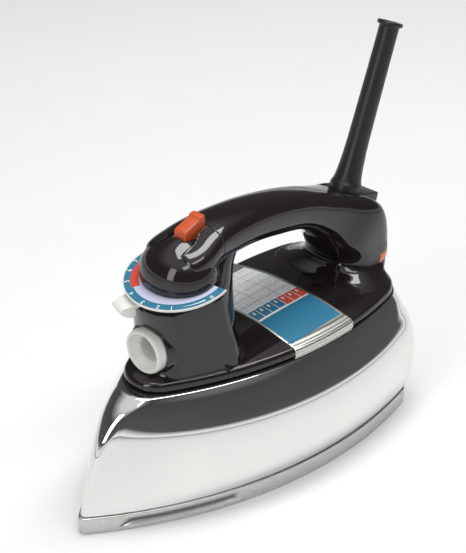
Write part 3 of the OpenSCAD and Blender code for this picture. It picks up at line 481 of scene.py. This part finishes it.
# Share of the way from the dome's middle to the lip, for any x and y
def lipShare(x, y):
    angle = np.arctan2(y, x - housing["middleX"]) % (2 * math.pi)
    reach = np.interp(angle, np.append(lipAngles, 2 * math.pi), np.append(lipReach, lipReach[0]))
    return np.hypot(x - housing["middleX"], y) / reach
def saddle(x, y):
    return housing["topZ"] + housing["rise"] * (1 - lipShare(x, y) ** housing["power"])
def buildHousing():
    h = housing
    z, top = h["lipZ"], h["topZ"]
    rows = [(z + 0.2, 8), (z + 0.2, 1.6), (z + 0.35, 1.1), (z + 1.1, 0.9), (z + 1.3, 0.9), (z + 1.5, 0.35),
            (z + 1.8, 0.05), (z + 2.2, 0.0), (top - 3.4, 0.05), (top - 2.2, 0.2), (top - 1.2, 0.6),
            (top - 0.5, 1.25), (top - 0.12, 2.0)]
    rings = boatRings([(zz, h["nose"] - t, h["rear"] + t, h["half"] - t, h["noseR"] - t / 2,
                        h["cornerR"] - t / 2) for zz, t in rows])
    shares = np.linspace(1, 0, 42)[:-1] ** 0.8
    x = h["middleX"] + shares[:, None] * (lipOutline[None, :, 0] - h["middleX"])
    y = shares[:, None] * lipOutline[None, :, 1]
    dome = np.stack([x, y, saddle(x, y)], -1)
    points, faces = gridFaces(np.concatenate([rings, dome]), shut=(False, True))
    points[-1, 2] = top + h["rise"]
    return points, faces
housingPoints, housingFaces = buildHousing()

# ---- Column and dial axis ----
tilt = math.radians(11)
dialFrame = Matrix.Translation((33, 0, 125)) @ Matrix.Rotation(tilt, 4, "Y")
column = {"top": -6.0, "r": 26.8, "seamX": 28.0, "steps": 150}
# The column's wall runs down and flares; near the housing its height is kept above the
# saddle by a rounded maximum, so that the foot melts into it.
def buildColumn():
    c = column
    profile = rounded([(c["r"] - 9, -0.0), (c["r"] - 0.5, -0.0), (c["r"], -0.5), (c["r"] + 0.5, -12),
                       (c["r"] + 1.3, -22), (c["r"] + 2.6, -30), (c["r"] + 5.4, -36.5),
                       (c["r"] + 9.5, -40.5), (c["r"] + 15, -42.5), (c["r"] + 19, -43.5)], 4)
    profile[:, 1] += c["top"]
    half = math.radians(100.5)
    wall = turned(profile, c["steps"], -half, 2 * half)
    angle = np.abs(np.arctan2(wall[..., 1], wall[..., 0]))
    reach = np.hypot(wall[..., 0], wall[..., 1])
    less = np.maximum(reach - c["r"] - 2.6, 0) * 0.9 * smoothStep(angle, math.radians(62), math.radians(96))
    wall[..., :2] *= ((reach - less) / reach)[..., None]
    wall = matrixPoints(wall, dialFrame)
    ground = saddle(wall[..., 0], wall[..., 1])
    lifted = softMax(wall[..., 2], ground - 0.25, 1.3)
    wall[..., 2] = np.where(wall[..., 2] < 95, lifted, wall[..., 2])
    share = lipShare(wall[..., 0], wall[..., 1])
    over = np.maximum(share / 0.985, 1)
    wall[..., 0] = housing["middleX"] + (wall[..., 0] - housing["middleX"]) / over
    wall[..., 1] = wall[..., 1] / over
    ground = saddle(wall[..., 0], wall[..., 1])
    buried = smoothStep(share, 0.90, 0.975) * (1 - smoothStep(wall[..., 2] - ground, 1.5, 6))
    wall[..., 2] = wall[..., 2] * (1 - buried) + (ground - 1.2) * buried
    return wall
columnWall = buildColumn()

# ---- Handle ----
guard = {"x": -91.0, "top": 127.5, "slope": 14.5, "long": 30.0, "wide": 20.4, "deep": 17.0, "lean": 19.5,
         "sleeve": 98.0, "bore": 3.8}
# Stations down the grip and the post: x, height, lean, half width, half thickness
grip = {"top": 150.5, "half": 14.0, "power": 2.5, "around": 96, "stations": 230, "slotHalf": 8.55,
        "slotRear": 4.3, "seamX": -116.0, "squarer": 2.5}
gripZ = grip["top"] - 11.5
handleTable = [
    (42, gripZ - 3.5, -8, grip["half"] - 2, 3), (38.5, gripZ - 4, -4, grip["half"] + 4, 7.5),
    (28, gripZ - 2.8, 0, grip["half"] + 5, 9.4), (12, gripZ - 0.5, 4, grip["half"] + 2, 11),
    (-12, gripZ - 1, 8, grip["half"] + 0.5, 11), (-35, gripZ - 4.4, 12, grip["half"], 11.1),
    (-58, gripZ - 10, 18, grip["half"] + 0.5, 11), (-80, gripZ - 21, 34, grip["half"] + 3, 14),
    (-96.5, gripZ - 32, 58, grip["half"] + 8, 20.3), (-102.5, 90.8, 84, grip["half"] + 8, 19.5),
    (-101, 83.3, 94, grip["half"] + 9, 20.5), (-97, 79.2, 95, grip["half"] + 15, 22),
    (-92, 76.0, 91, grip["half"] + 22, 23)]
# Rings round the grip between two stations; each is a squared circle leaned with the path
def gripRings(first, last, count):
    places = np.linspace(first, last, count)
    rows = alongRows(handleTable, places)
    across, up = squaredCircle(grip["around"], grip["power"])
    swell = smoothStep(places, 6.2, 8.0) * (1 - smoothStep(places, 9.4, 11.0))
    power = grip["power"] + grip["squarer"] * swell
    square = [np.stack(squaredCircle(grip["around"], p)) for p in power]
    across, up = [np.where(up >= 0, [pair[i] for pair in square], plain)
                  for i, plain in ((0, across), (1, up))]
    x, z, lean, wide, thick = [rows[:, i:i + 1] for i in range(5)]
    lean = np.radians(lean)
    return np.stack([x - np.sin(lean) * up * thick, -across * wide + 0 * x,
                     z + np.cos(lean) * up * thick], -1)
# The leg's rings: the rear half of an oval, closed flat along the seam with the column
def legRings():
    table = np.array([(76.0, 30.0, 33), (78.0, 28.6, 30), (80.5, 27.2, 27.6), (85, 26.0, 26.0),
                      (92, 25.2, 25.0), (103, 24.2, 24.6), (113, 23.2, 24.4), (120, 21.6, 25.6),
                      (125, 19.4, 28.2), (129, 17.2, 32.5), (132, 15.2, 39.0), (134, 13.4, 47.0)])
    rows = alongRows(table, np.linspace(0, len(table) - 1, 90))
    a = np.linspace(math.pi / 2, 3 * math.pi / 2, 64)
    z, wide, deep = rows[:, :1], rows[:, 1:2], rows[:, 2:3]
    curve = np.stack([column["seamX"] - 0.35 + deep * np.cos(a), wide * np.sin(a), z + 0 * a], -1)
    across = np.linspace(-1, 1, 14)[1:-1]
    flat = np.stack([np.full((len(rows), 12), column["seamX"] - 0.35), wide * across, z + 0 * across], -1)
    rings = np.concatenate([curve, flat], 1)
    ground = saddle(rings[..., 0], rings[..., 1])
    rings[..., 2] = np.where(rings[..., 2] < 92, softMax(rings[..., 2], ground - 0.2, 1.2), rings[..., 2])
    return rings
def buildHandle():
    main = gripRings(2.7, 12, grip["stations"])
    front = gripRings(0, 2.72, 60)
    lobes = []
    slot = grip["slotRear"] + (grip["slotHalf"] - grip["slotRear"]) * smoothStep(front[..., 0], 22, 33)
    for side in (-1, 1):
        lobe = front.copy()
        lobe[..., 1] = np.maximum(side * lobe[..., 1], slot) * side
        lobes.append(lobe)
    ground = saddle(main[..., 0], main[..., 1])
    main[..., 2] = np.where((main[..., 2] < 96) & (main[..., 0] < -50),
                            softMax(main[..., 2], ground - 0.25, 1.4), main[..., 2])
    seat = guard["top"] + (main[..., 0] - guard["x"]) * math.tan(math.radians(guard["slope"])) - 0.7
    under = (np.abs(main[..., 1]) < guard["wide"] / 2 + 0.5) & (main[..., 2] > 105) \
        & (main[..., 0] < guard["x"] + 0.6)
    main[..., 2] = np.where(under, np.minimum(main[..., 2], seat), main[..., 2])
    whole = gridFaces(main, shut=(True, True))
    body = joinMeshes(keepSide(*whole, grip["seamX"], 1), gridFaces(legRings(), shut=(True, True)),
                      *[gridFaces(lobe, shut=(True, True)) for lobe in lobes])
    makePiece("handle_moulding", *body, blackPhenolic, slot="black_moulding", replaces=("handle",))
    makePiece("rear_cover_moulding", *keepSide(*whole, grip["seamX"] - 0.25, -1), blackPhenolic,
              slot="black_moulding", replaces=("rear_cover",))
buildHandle()
print("handle made")

# The funnel's collar stands out of the column's front, round the white rim
funnel = {"x": 60.5, "z": 90.0, "rim": 12.4, "mouth": 10.1, "throat": 6.4}
funnelFrame = Matrix.Translation((funnel["x"], 0, funnel["z"])) @ Matrix.Rotation(math.pi / 2, 4, "Y")
collarProfile = rounded([(funnel["rim"] + 5.0, -14), (funnel["rim"] + 3.2, -9.5),
                         (funnel["rim"] + 2.0, -6.5), (funnel["rim"] + 1.3, -5.6),
                         (funnel["rim"] + 0.15, -5.4), (funnel["rim"] + 0.15, -10)], 3)
collarRings = matrixPoints(turned(collarProfile, 96), funnelFrame)
columnPoints, columnFaces = gridFaces(columnWall, loop=False)
middles = columnPoints[np.array(columnFaces)].mean(1)
inFunnel = (np.hypot(middles[:, 1], middles[:, 2] - funnel["z"]) < funnel["rim"] + 0.9) \
    & (middles[:, 0] > 40)
columnFaces = np.array(columnFaces)[~inFunnel].tolist()
collarPoints, collarFaces = gridFaces(collarRings)
housingAll = joinMeshes((housingPoints, housingFaces), (columnPoints, columnFaces),
                        (collarPoints, collarFaces))
makePiece("housing_moulding", *housingAll, blackPhenolic, slot="black_moulding", replaces=("tank_housing",))
funnelProfile = rounded([(0, -34), (funnel["throat"], -34), (funnel["throat"], -6.0),
                         (funnel["mouth"] - 2.9, -4.6), (funnel["mouth"] - 0.7, -2.0),
                         (funnel["mouth"] + 0.1, -0.5), (funnel["mouth"] + 1.0, 0.0),
                         (funnel["rim"] - 0.9, -0.2), (funnel["rim"], -1.5), (funnel["rim"], -8),
                         (funnel["rim"] - 1, -9), (funnel["throat"] + 1.3, -14),
                         (funnel["throat"] + 1.3, -35), (0, -35)], 3)
gridPiece("funnel_moulding", matrixPoints(turned(funnelProfile, 96), funnelFrame), ivoryPlastic,
          slot="ivory_plastic", replaces=("fill_funnel",))
print("housing and funnel made")

# ---- Dial cap ----
# A superellipse of height over the distance from the middle, on an oval base. A ridge rises
# along the middle towards the button, and a slot lets the button down.
cap = {"frontR": 18.8, "sideR": 21.8, "rearX": 17.6, "high": 18.1, "power": 2.3, "ridge": 2.2,
       "ridgeWide": 7.0, "slotX": 33.1, "slotHalf": 4.3, "slotZ": 129.4}
def buildCap():
    c = cap
    t = np.linspace(0, math.pi / 2, 70)[:, None]
    a = np.arange(160) * 2 * math.pi / 160
    base = c["frontR"] + (c["sideR"] - c["frontR"]) * np.sin(a) ** 2
    share, height = np.cos(t).clip(0) ** (2 / c["power"]), c["high"] * np.sin(t) ** (2 / c["power"])
    grid = np.stack([share * base * np.cos(a), share * base * np.sin(a), height + 0.3 + 0 * a], -1)
    grid = matrixPoints(grid, dialFrame)
    x, y, z = grid[..., 0], grid[..., 1], grid[..., 2]
    along = (1 - smoothStep(x, 31, 46)) * smoothStep(height, 5, 12)
    z = z + c["ridge"] * np.exp(-(y / c["ridgeWide"]) ** 2) * along
    inSlot = (np.abs(y) < c["slotHalf"]) & (x < c["slotX"])
    grid[..., 2] = np.where(inSlot, np.minimum(z, c["slotZ"]), z)
    grid[..., 0] = np.maximum(x, c["rearX"])
    return gridPiece("dial_cap_moulding", grid, blackPhenolic, shut=(True, False), slot="black_moulding",
                     replaces=("dial_cap",))
buildCap()

# ---- Steam button ----
# A side outline pushed across the width; the top rises in a step towards the rear
button = {"middleX": 25.0, "length": 15.5, "width": 7.8, "top": 154.5, "foot": 134.0}
def buildButton():
    b = button
    back, top = b["middleX"] - b["length"] / 2, b["top"]
    side = [(back, b["foot"]), (back + b["length"], b["foot"]), (back + b["length"], top - 6.0),
            (back + b["length"] - 0.9, top - 5.0), (back + 6.2, top - 1.9), (back + 5.3, top - 1.45),
            (back + 4.6, top - 0.5), (back + 3.8, top - 0.15), (back + 1.0, top)]
    points, faces = pushed(side, -b["width"] / 2, b["width"] / 2)
    piece = makePiece("steam_button_moulding", points, faces, orangePlastic, body="steam_control",
                      slot="orange_plastic", replaces=("steam_button",))
    addBevel(piece, 0.5, 3, 25)
buildButton()
print("cap and button made")

# ---- Dial ----
dial = {"r": 29.4, "scaleR": 28.5, "bore": 15.0, "half": 98.0, "bandIn": 24.3, "numberR": 26.8,
        "numberSize": 3.6, "redFrom": -85.0, "redTo": -30.0, "redIn": 20.8, "redOut": 25.2,
        "numbers": {"0": 81, "1": 36, "2": 21, "3": 1, "4": -20, "5": -43, "6": -62, "7": -79}}

# Small shader helpers: one arithmetic node, a product, a sum, a test that a value lies
# between two others or in a box of two values, a colour laid over another by a mask, and the
# two coordinates of the UV map
def mathNode(tree, operation, a, b=0.0):
    node = tree.nodes.new("ShaderNodeMath")
    node.operation = operation
    for socket, value in zip(node.inputs, (a, b)):
        if isinstance(value, (int, float)):
            socket.default_value = value
        else:
            tree.links.new(value, socket)
    return node.outputs[0]
def times(tree, a, b):
    return mathNode(tree, "MULTIPLY", a, b)
def plus(tree, a, b):
    return mathNode(tree, "ADD", a, b)
def between(tree, value, low, high):
    return times(tree, mathNode(tree, "GREATER_THAN", value, low),
                    mathNode(tree, "LESS_THAN", value, high))
def area(tree, a, b, a0, a1, b0, b1):
    return times(tree, between(tree, a, a0, a1), between(tree, b, b0, b1))
def layer(tree, under, mask, colour):
    mix = tree.nodes.new("ShaderNodeMix")
    mix.data_type = "RGBA"
    if isinstance(under, tuple):
        mix.inputs["A"].default_value = (*under, 1)
    else:
        tree.links.new(under, mix.inputs["A"])
    mix.inputs["B"].default_value = (*colour, 1)
    tree.links.new(mask, mix.inputs["Factor"])
    return mix.outputs["Result"]
def surfaceMap(tree):
    place, split = tree.nodes.new("ShaderNodeUVMap"), tree.nodes.new("ShaderNodeSeparateXYZ")
    place.uv_map = "surface"
    tree.links.new(place.outputs["UV"], split.inputs["Vector"])
    return split.outputs["X"], split.outputs["Y"]

# The printed disc is coloured by the radius and the angle held in its UV map
def buildDialPrint():
    d = dial
    material, nodes, links, shader = newMaterial("dialPrint")
    tree = material.node_tree
    shader.inputs["Roughness"].default_value = 0.22
    radius, angle = surfaceMap(tree)
    teal, red, white = (0.035, 0.19, 0.30), (0.66, 0.075, 0.045), (0.85, 0.86, 0.87)
    colour = layer(tree, (0.60, 0.62, 0.78), between(tree, radius, d["bandIn"], 40.0), teal)
    redArc = area(tree, radius, angle, d["redIn"], d["redOut"], d["redFrom"], d["redTo"])
    colour = layer(tree, colour, redArc, red)
    wedge = mathNode(tree, "DIVIDE", mathNode(tree, "SUBTRACT", 78.0, angle), 34.0)
    halfWide = times(tree, mathNode(tree, "SUBTRACT", 1.0, wedge), 0.5)
    offset = mathNode(tree, "ABSOLUTE", mathNode(tree, "SUBTRACT", radius, 26.6))
    onWedge = times(tree, mathNode(tree, "LESS_THAN", offset, halfWide), between(tree, angle, 43.0, 73.0))
    colour = layer(tree, colour, onWedge, white)
    links.new(colour, shader.inputs["Base Color"])
    return material

# Numbers are turned so that their tops point outwards, and become one mesh
def buildNumbers(material):
    d = dial
    parts = []
    for text, degrees in d["numbers"].items():
        curve = bpy.data.curves.new("number" + text, "FONT")
        curve.body, curve.size, curve.extrude = text, d["numberSize"], 0.03
        curve.align_x, curve.align_y, curve.resolution_u, curve.offset = "CENTER", "CENTER", 3, 0.04
        shown = bpy.data.objects.new("number" + text, curve)
        bpy.context.scene.collection.objects.link(shown)
        bpy.context.view_layer.update()
        mesh = bpy.data.meshes.new_from_object(shown.evaluated_get(bpy.context.evaluated_depsgraph_get()))
        points, faces = meshArrays(mesh)
        place = dialFrame @ Matrix.Rotation(math.radians(degrees), 4, "Z") \
            @ Matrix.Translation((d["numberR"], 0, 0.02)) @ Matrix.Rotation(-math.pi / 2, 4, "Z")
        parts.append((matrixPoints(points, place), faces))
        bpy.data.objects.remove(shown)
        bpy.data.meshes.remove(mesh)
        bpy.data.curves.remove(curve)
    makePiece("dial_numbers", *joinMeshes(*parts), material, slot="dial_print", smooth=False)

def buildDial():
    d = dial
    half = math.radians(d["half"])
    edge = d["scaleR"]
    profile = [(d["bore"], -1.6), (d["bore"], 0.0), (20, 0), (edge, 0), (edge + 0.1, -0.2),
               (edge + 0.1, -1.6), (d["bore"], -1.6)]
    flat = turned(profile, 160, -half, 2 * half)
    degrees = np.degrees(np.arctan2(flat[..., 1], flat[..., 0]))
    uv = np.stack([np.hypot(flat[..., 0], flat[..., 1]), degrees], -1)
    gridPiece("dial_scale_disc", matrixPoints(flat, dialFrame), buildDialPrint(), loop=False,
              uv=uv.reshape(-1, 2), weld=False, smooth=False, slot="dial_print", replaces=("dial_scale",))
    rim = rounded([(25.4, -2.4), (d["r"] - 2.4, -2.4), (d["r"] - 1.2, -1.9), (d["r"] - 0.1, -0.9),
                   (d["r"] - 0.1, 0.0), (d["r"] - 0.3, 0.25), (edge + 0.15, 0.2), (edge + 0.1, -0.1),
                   (edge + 0.1, -1.3), (25.4, -1.7), (25.4, -2.4)], 1)
    gridPiece("dial_rim_moulding", matrixPoints(turned(rim, 160, -half, 2 * half), dialFrame), ivoryPlastic,
              loop=False, slot="ivory_plastic", replaces=("dial_rim",))
    buildNumbers(mouldedFinish("numberWhite", (0.86, 0.88, 0.9), (0.8, 0.82, 0.85), 0.3, 0.4, 0.02))
buildDial()

# ---- Temperature lever ----
# A tab whose side outline is pushed across its width and tapered to the tip, and its ring
lever = {"rest": -19.0, "wide": 12.0, "r": 28.4, "tip": 36.8}
def buildLever():
    v = lever
    side = [(v["r"] - 11, -5.2), (v["r"], -5.2), (v["r"] + 0.1, -9.6), (v["r"] + 3.4, -9.8),
            (v["tip"] - 2.2, -8.2), (v["tip"], -5.2), (v["tip"], -4.1), (v["tip"] - 1.6, -3.1),
            (v["r"] + 2.6, -2.8), (v["r"] - 11, -2.9)]
    points, faces = pushed(side, -v["wide"] / 2, v["wide"] / 2)
    points[:, 1] *= 1 - 0.22 * smoothStep(points[:, 0], v["r"] + 2, v["tip"])
    points = matrixPoints(points, dialFrame @ Matrix.Rotation(math.radians(v["rest"]), 4, "Z"))
    piece = makePiece("lever_tab", points, faces, ivoryPlastic, body="temperature_control",
                      slot="ivory_plastic", replaces=("temperature_lever",))
    addBevel(piece, 0.8, 3, 25)
    ring = rounded([(16, -5.7), (18.2, -5.7), (18.2, -2.7), (16, -2.7), (16, -5.7)], 1)
    gridPiece("lever_ring", np.swapaxes(matrixPoints(turned(ring, 128), dialFrame), 0,
                                        1)[list(range(128)) + [0]],
              ivoryPlastic, loop=False, body="temperature_control", slot="ivory_plastic")
buildLever()
print("dial and lever made")

# ---- Label plate ----
# A strip that follows the saddle across, rounds the lip and hangs down it. Its UV map is the
# place along the iron and the length of the path across, in millimetres.
label = {"front": -11.5, "rear": -56.0, "lift": 0.5, "thick": 0.9, "drop": 4.6, "corner": 2.4, "out": 2.9,
         "chart": (-34.0, 4.3), "boxes": (5.6, 13.6), "panel": (15.0, 37.8), "side": 2.0, "rowPitch": 2.15}
def buildLabelPrint():
    d = label
    material, nodes, links, shader = newMaterial("labelPrint")
    tree = material.node_tree
    along, across = surfaceMap(tree)
    white, ink = (0.80, 0.82, 0.82), (0.28, 0.31, 0.33)
    blue, red = (0.035, 0.19, 0.315), (0.62, 0.085, 0.055)
    x0, x1 = d["rear"] + d["side"], d["front"] - 1.2
    printed = area(tree, along, across, x0, x1, d["chart"][0], d["panel"][1])
    colour = layer(tree, (0.62, 0.62, 0.58), printed, white)
    # Rows of fine dashes give the grey of small print, with no letters in it
    row = mathNode(tree, "DIVIDE", across, d["rowPitch"])
    words, place = nodes.new("ShaderNodeTexNoise"), nodes.new("ShaderNodeCombineXYZ")
    words.inputs["Scale"].default_value = 1
    words.inputs["Detail"].default_value = 1
    links.new(times(tree, along, 1.1), place.inputs["X"])
    links.new(times(tree, mathNode(tree, "FLOOR", row), 7.3), place.inputs["Y"])
    links.new(place.outputs["Vector"], words.inputs["Vector"])
    dashes = times(tree, between(tree, mathNode(tree, "FRACT", row), 0.36, 0.62),
                      mathNode(tree, "GREATER_THAN", words.outputs["Fac"], 0.47))
    inChart = area(tree, along, across, x0 + 1.2, x1 - 1.2, d["chart"][0] + 1.5, d["chart"][1] - 1)
    colour = layer(tree, colour, times(tree, times(tree, dashes, inChart), 0.7), ink)
    third = mathNode(tree, "FRACT", mathNode(tree, "DIVIDE", row, 3.0))
    columns = plus(tree, between(tree, along, -27.4, -27.05), between(tree, along, -41.2, -40.85))
    rules = plus(tree, between(tree, third, 0.0, 0.05), columns)
    colour = layer(tree, colour, times(tree, rules, area(tree, along, across, x0, x1, *d["chart"])), ink)
    y0, y1 = d["boxes"]
    colour = layer(tree, colour, area(tree, along, across, x0, x1, y0 - 0.45, d["panel"][1]), blue)
    colour = layer(tree, colour, area(tree, along, across, x0, x1, y1, d["panel"][0]), white)
    step = mathNode(tree, "DIVIDE", mathNode(tree, "SUBTRACT", x1, along), (x1 - x0) / 7)
    inBoxes = area(tree, along, across, x0, x1, y0 - 0.45, y1 + 0.45)
    colour = layer(tree, colour, times(tree, inBoxes, mathNode(tree, "GREATER_THAN", step, 4.0)), red)
    frames = plus(tree, mathNode(tree, "LESS_THAN", mathNode(tree, "FRACT", step), 0.075),
                      between(tree, across, y0 - 0.5, y0))
    colour = layer(tree, colour, times(tree, inBoxes, mathNode(tree, "MINIMUM", frames, 1.0)), white)
    mark = area(tree, mathNode(tree, "FRACT", step), across, 0.42, 0.66, y0 + 1.2, y0 + 3.6)
    colour = layer(tree, colour, times(tree, mark, inBoxes), white)
    links.new(colour, shader.inputs["Base Color"])
    bare = mathNode(tree, "SUBTRACT", 1.0, printed)
    links.new(bare, shader.inputs["Metallic"])
    links.new(plus(tree, times(tree, bare, 0.12), 0.22), shader.inputs["Roughness"])
    return material

def buildLabel():
    d = label
    c = d["corner"]
    x = np.linspace(d["front"], d["rear"], 60)
    side = lipOutline[lipOutline[:, 1] > 0]
    reach = (np.interp(-x, -side[:, 0], side[:, 1]) + d["out"])[:, None]
    t = np.concatenate([np.linspace(-1, -0.86, 40, endpoint=False),
                        np.linspace(-0.86, 0.86, 110, endpoint=False),
                        np.linspace(0.86, 1, 40)])[None, :]
    arc = c * math.pi / 2
    path = np.abs(t) * (reach - c + arc + d["drop"])
    flat = np.minimum(path, reach - c)
    turn = np.clip((path - reach + c) / arc, 0, 1) * math.pi / 2
    down = np.maximum(path - reach + c - arc, 0)
    ridge = 0.32 * np.abs(np.sin(math.pi * np.clip((path - reach + c + 3.6) / 2.6, 0, 4))) ** 0.7
    across = 0 * path + x[:, None]
    y = flat + (c + ridge) * np.sin(turn)
    z = saddle(across, flat) + d["lift"] - c + (c + ridge) * np.cos(turn) - down
    grid = np.stack([across, np.sign(t) * y, z], -1)
    under = np.stack([across, np.sign(t) * (y - d["thick"] * np.sin(turn)),
                      z - d["thick"] * np.cos(turn)], -1)
    uv = np.stack([across, np.sign(t) * path], -1)
    points, faces = gridFaces(np.concatenate([grid, under[:, ::-1]], 1))
    count = grid.shape[1]
    k = np.arange(count - 1)
    for first, flip in ((0, 1), ((len(x) - 1) * 2 * count, -1)):
        back = first + 2 * count - 1 - k
        strip = np.stack([first + k, first + k + 1, back - 1, back], -1)
        faces += strip[:, ::flip].tolist()
    uv = np.concatenate([uv, uv[:, ::-1]], 1).reshape(-1, 2)
    return makePiece("label_strip", points, faces, buildLabelPrint(), uv=uv, weld=False, slot="label_plate",
                     replaces=("label_plate",))
addBevel(buildLabel(), 0.15, 1, 60)
print("label made")

# ---- Cord guard ----
# A rubber block let into the grip's rear, and a turned sleeve with a flared foot and a bead
def buildGuard():
    g = guard
    blockFrame = Matrix.Translation((g["x"], 0, g["top"])) \
        @ Matrix.Rotation(math.radians(-g["slope"]), 4, "Y")
    points, faces = pushed([(-g["long"], -g["deep"]), (0, -g["deep"]), (0, 0), (-g["long"], 0)],
                           -g["wide"] / 2, g["wide"] / 2)
    block = makePiece("guard_block", matrixPoints(points, blockFrame), faces, guardRubber,
                      slot="guard_rubber", replaces=("cord_guard",))
    addBevel(block, 0.9, 3, 30)
    sleeveFrame = Matrix.Translation((g["x"] - 9.5, 0,
                                      g["top"] - 3)) @ Matrix.Rotation(math.radians(-g["lean"]), 4, "Y")
    s, bore = g["sleeve"], g["bore"]
    profile = rounded([(bore, -2.0), (9.4, -2.0), (9.3, 3.6), (9.0, 4.6), (8.1, 6.4), (7.4, 11),
                       (6.7, 19), (6.25, 30), (6.0, 50), (5.75, 75), (5.65, s - 3.2), (5.9, s - 2.4),
                       (7.1, s - 2.2), (7.3, s - 1.8), (7.3, s - 0.5), (7.0, s - 0.05), (6.6, s),
                       (bore + 0.5, s), (bore, s - 0.5), (bore, s - 14), (bore, -2.0)], 2)
    tube = np.swapaxes(matrixPoints(turned(profile, 72), sleeveFrame), 0, 1)[list(range(72)) + [0]]
    gridPiece("guard_sleeve", tube, guardRubber, loop=False, slot="guard_rubber")
buildGuard()

# ---- Lamp lens ----
# A band of the post's own surface round its rear corner, pushed out a little, with round edges
lens = {"z": 85.0, "high": 5.0, "frontX": -108.5, "proud": 0.35, "deep": 1.4}
def buildLens():
    d = lens
    rings = gripRings(9.0, 12, 200)
    band = []
    for share in np.linspace(-1, 1, 13):
        z = d["z"] + share * d["high"] / 2
        picked = np.array([[np.interp(-z, -ring[:, 2], ring[:, k]) for k in range(3)]
                           for ring in np.swapaxes(rings, 0, 1)])
        middle = picked.mean(0)
        out = (picked - middle) * (1, 1, 0)
        out /= np.linalg.norm(out, axis=1)[:, None]
        band.append(picked + out * (d["proud"] * (1 - abs(share) ** 6) - 0.15))
    band = np.array(band)
    keep = band[:, :, 0].mean(0) < d["frontX"]
    order = np.argsort(np.where(keep, band[:, :, 1].mean(0), 1e9))[:int(keep.sum())]
    outer = band[:, order]
    inner = outer + (d["deep"], 0, 0)
    gridPiece("lens_band", np.swapaxes(np.concatenate([outer, inner[::-1]]), 0, 1), lampOrange,
              shut=(True, True), slot="lamp_lens", replaces=("lamp_lens",))
buildLens()
print("guard and lens made")

# ---- Floor, light and camera ----
def buildStage():
    floorFinish = mouldedFinish("paleFloor", (0.90, 0.90, 0.90), (0.88, 0.88, 0.885),
                                0.65, 0.75, 0.0, 2, 10)
    mesh = bpy.data.meshes.new("floor")
    mesh.from_pydata([(-3, -3, 0), (3, -3, 0), (3, 3, 0), (-3, 3, 0)], [], [(0, 1, 2, 3)])
    mesh.materials.append(floorFinish)
    floor = bpy.data.objects.new("floor", mesh)
    bpy.context.scene.collection.objects.link(floor)

# The surroundings are shaded by height: pale at the floor, a dark band at the walls and a
# bright ceiling
surround = {"level": 1.0, "stops": [(0.0, 0.95), (0.02, 0.9), (0.10, 0.10), (0.62, 0.07), (0.74, 0.32),
                                    (0.84, 0.72), (1.0, 0.8)]}
def buildWorld():
    world = bpy.data.worlds.new("studio")
    bpy.context.scene.world = world
    world.use_nodes = True
    nodes, links = world.node_tree.nodes, world.node_tree.links
    place, split = nodes.new("ShaderNodeTexCoord"), nodes.new("ShaderNodeSeparateXYZ")
    ramp = nodes.new("ShaderNodeValToRGB")
    stops = ramp.color_ramp.elements
    for _ in surround["stops"][2:]:
        stops.new(0.5)
    for stop, (at, shade) in zip(stops, surround["stops"]):
        stop.position, stop.color = at, (shade, shade, shade * 1.02, 1)
    links.new(place.outputs["Generated"], split.inputs["Vector"])
    links.new(split.outputs["Z"], ramp.inputs["Fac"])
    links.new(ramp.outputs["Color"], nodes["Background"].inputs["Color"])
    nodes["Background"].inputs["Strength"].default_value = surround["level"]

lights = [
    {"name": "overhead", "at": (-0.35, -0.05, 1.5), "towards": (-0.35, -0.049, 0),
     "size": (0.4, 1.2), "power": 13, "spin": 65},
    {"name": "keySide", "at": (0.1, 0.7, 1.5), "towards": (0, 0, 0.08), "size": (1.3, 0.3), "power": 6},
    {"name": "noseFill", "at": (1.25, 0.1, 0.75), "towards": (0, 0, 0.08), "size": (0.4, 1.1), "power": 5}]
def buildLights():
    for item in lights:
        data = bpy.data.lights.new(item["name"], "AREA")
        data.shape = "RECTANGLE"
        data.size, data.size_y = item["size"]
        data.energy = item["power"]
        lamp = bpy.data.objects.new(item["name"], data)
        lamp.location = item["at"]
        aim = Vector(item["towards"]) - Vector(item["at"])
        lamp.rotation_euler = aim.to_track_quat("-Z", "Y").to_euler()
        lamp.rotation_euler.rotate_axis("Z", math.radians(item.get("spin", 0)))
        bpy.context.scene.collection.objects.link(lamp)

camera = {"azimuth": 132.5, "elevation": 30.3, "roll": 0.8, "distance": 0.6942,
          "target": (-0.0072, 0, 0.1065), "lens": 100.53}
def buildCamera():
    a, e, r = [math.radians(camera[k]) for k in ("azimuth", "elevation", "roll")]
    back = Vector((math.sin(a) * math.cos(e), -math.cos(a) * math.cos(e), math.sin(e)))
    right = (-back).cross(Vector((0, 0, 1))).normalized()
    up = right.cross(-back)
    across = right * math.cos(r) + up * math.sin(r)
    upward = up * math.cos(r) - right * math.sin(r)
    data = bpy.data.cameras.new("camera")
    data.lens = camera["lens"]
    data.sensor_fit = "HORIZONTAL"
    data.clip_start = 0.01
    view = bpy.data.objects.new("camera", data)
    bpy.context.scene.collection.objects.link(view)
    turn = Matrix((across, upward, back)).transposed().to_4x4()
    view.matrix_world = Matrix.Translation(Vector(camera["target"]) + back * camera["distance"]) @ turn
    bpy.context.scene.camera = view
buildStage()
buildWorld()
buildLights()
buildCamera()
bpy.context.scene.view_settings.view_transform = "Standard"
print("floor, lights and camera placed")
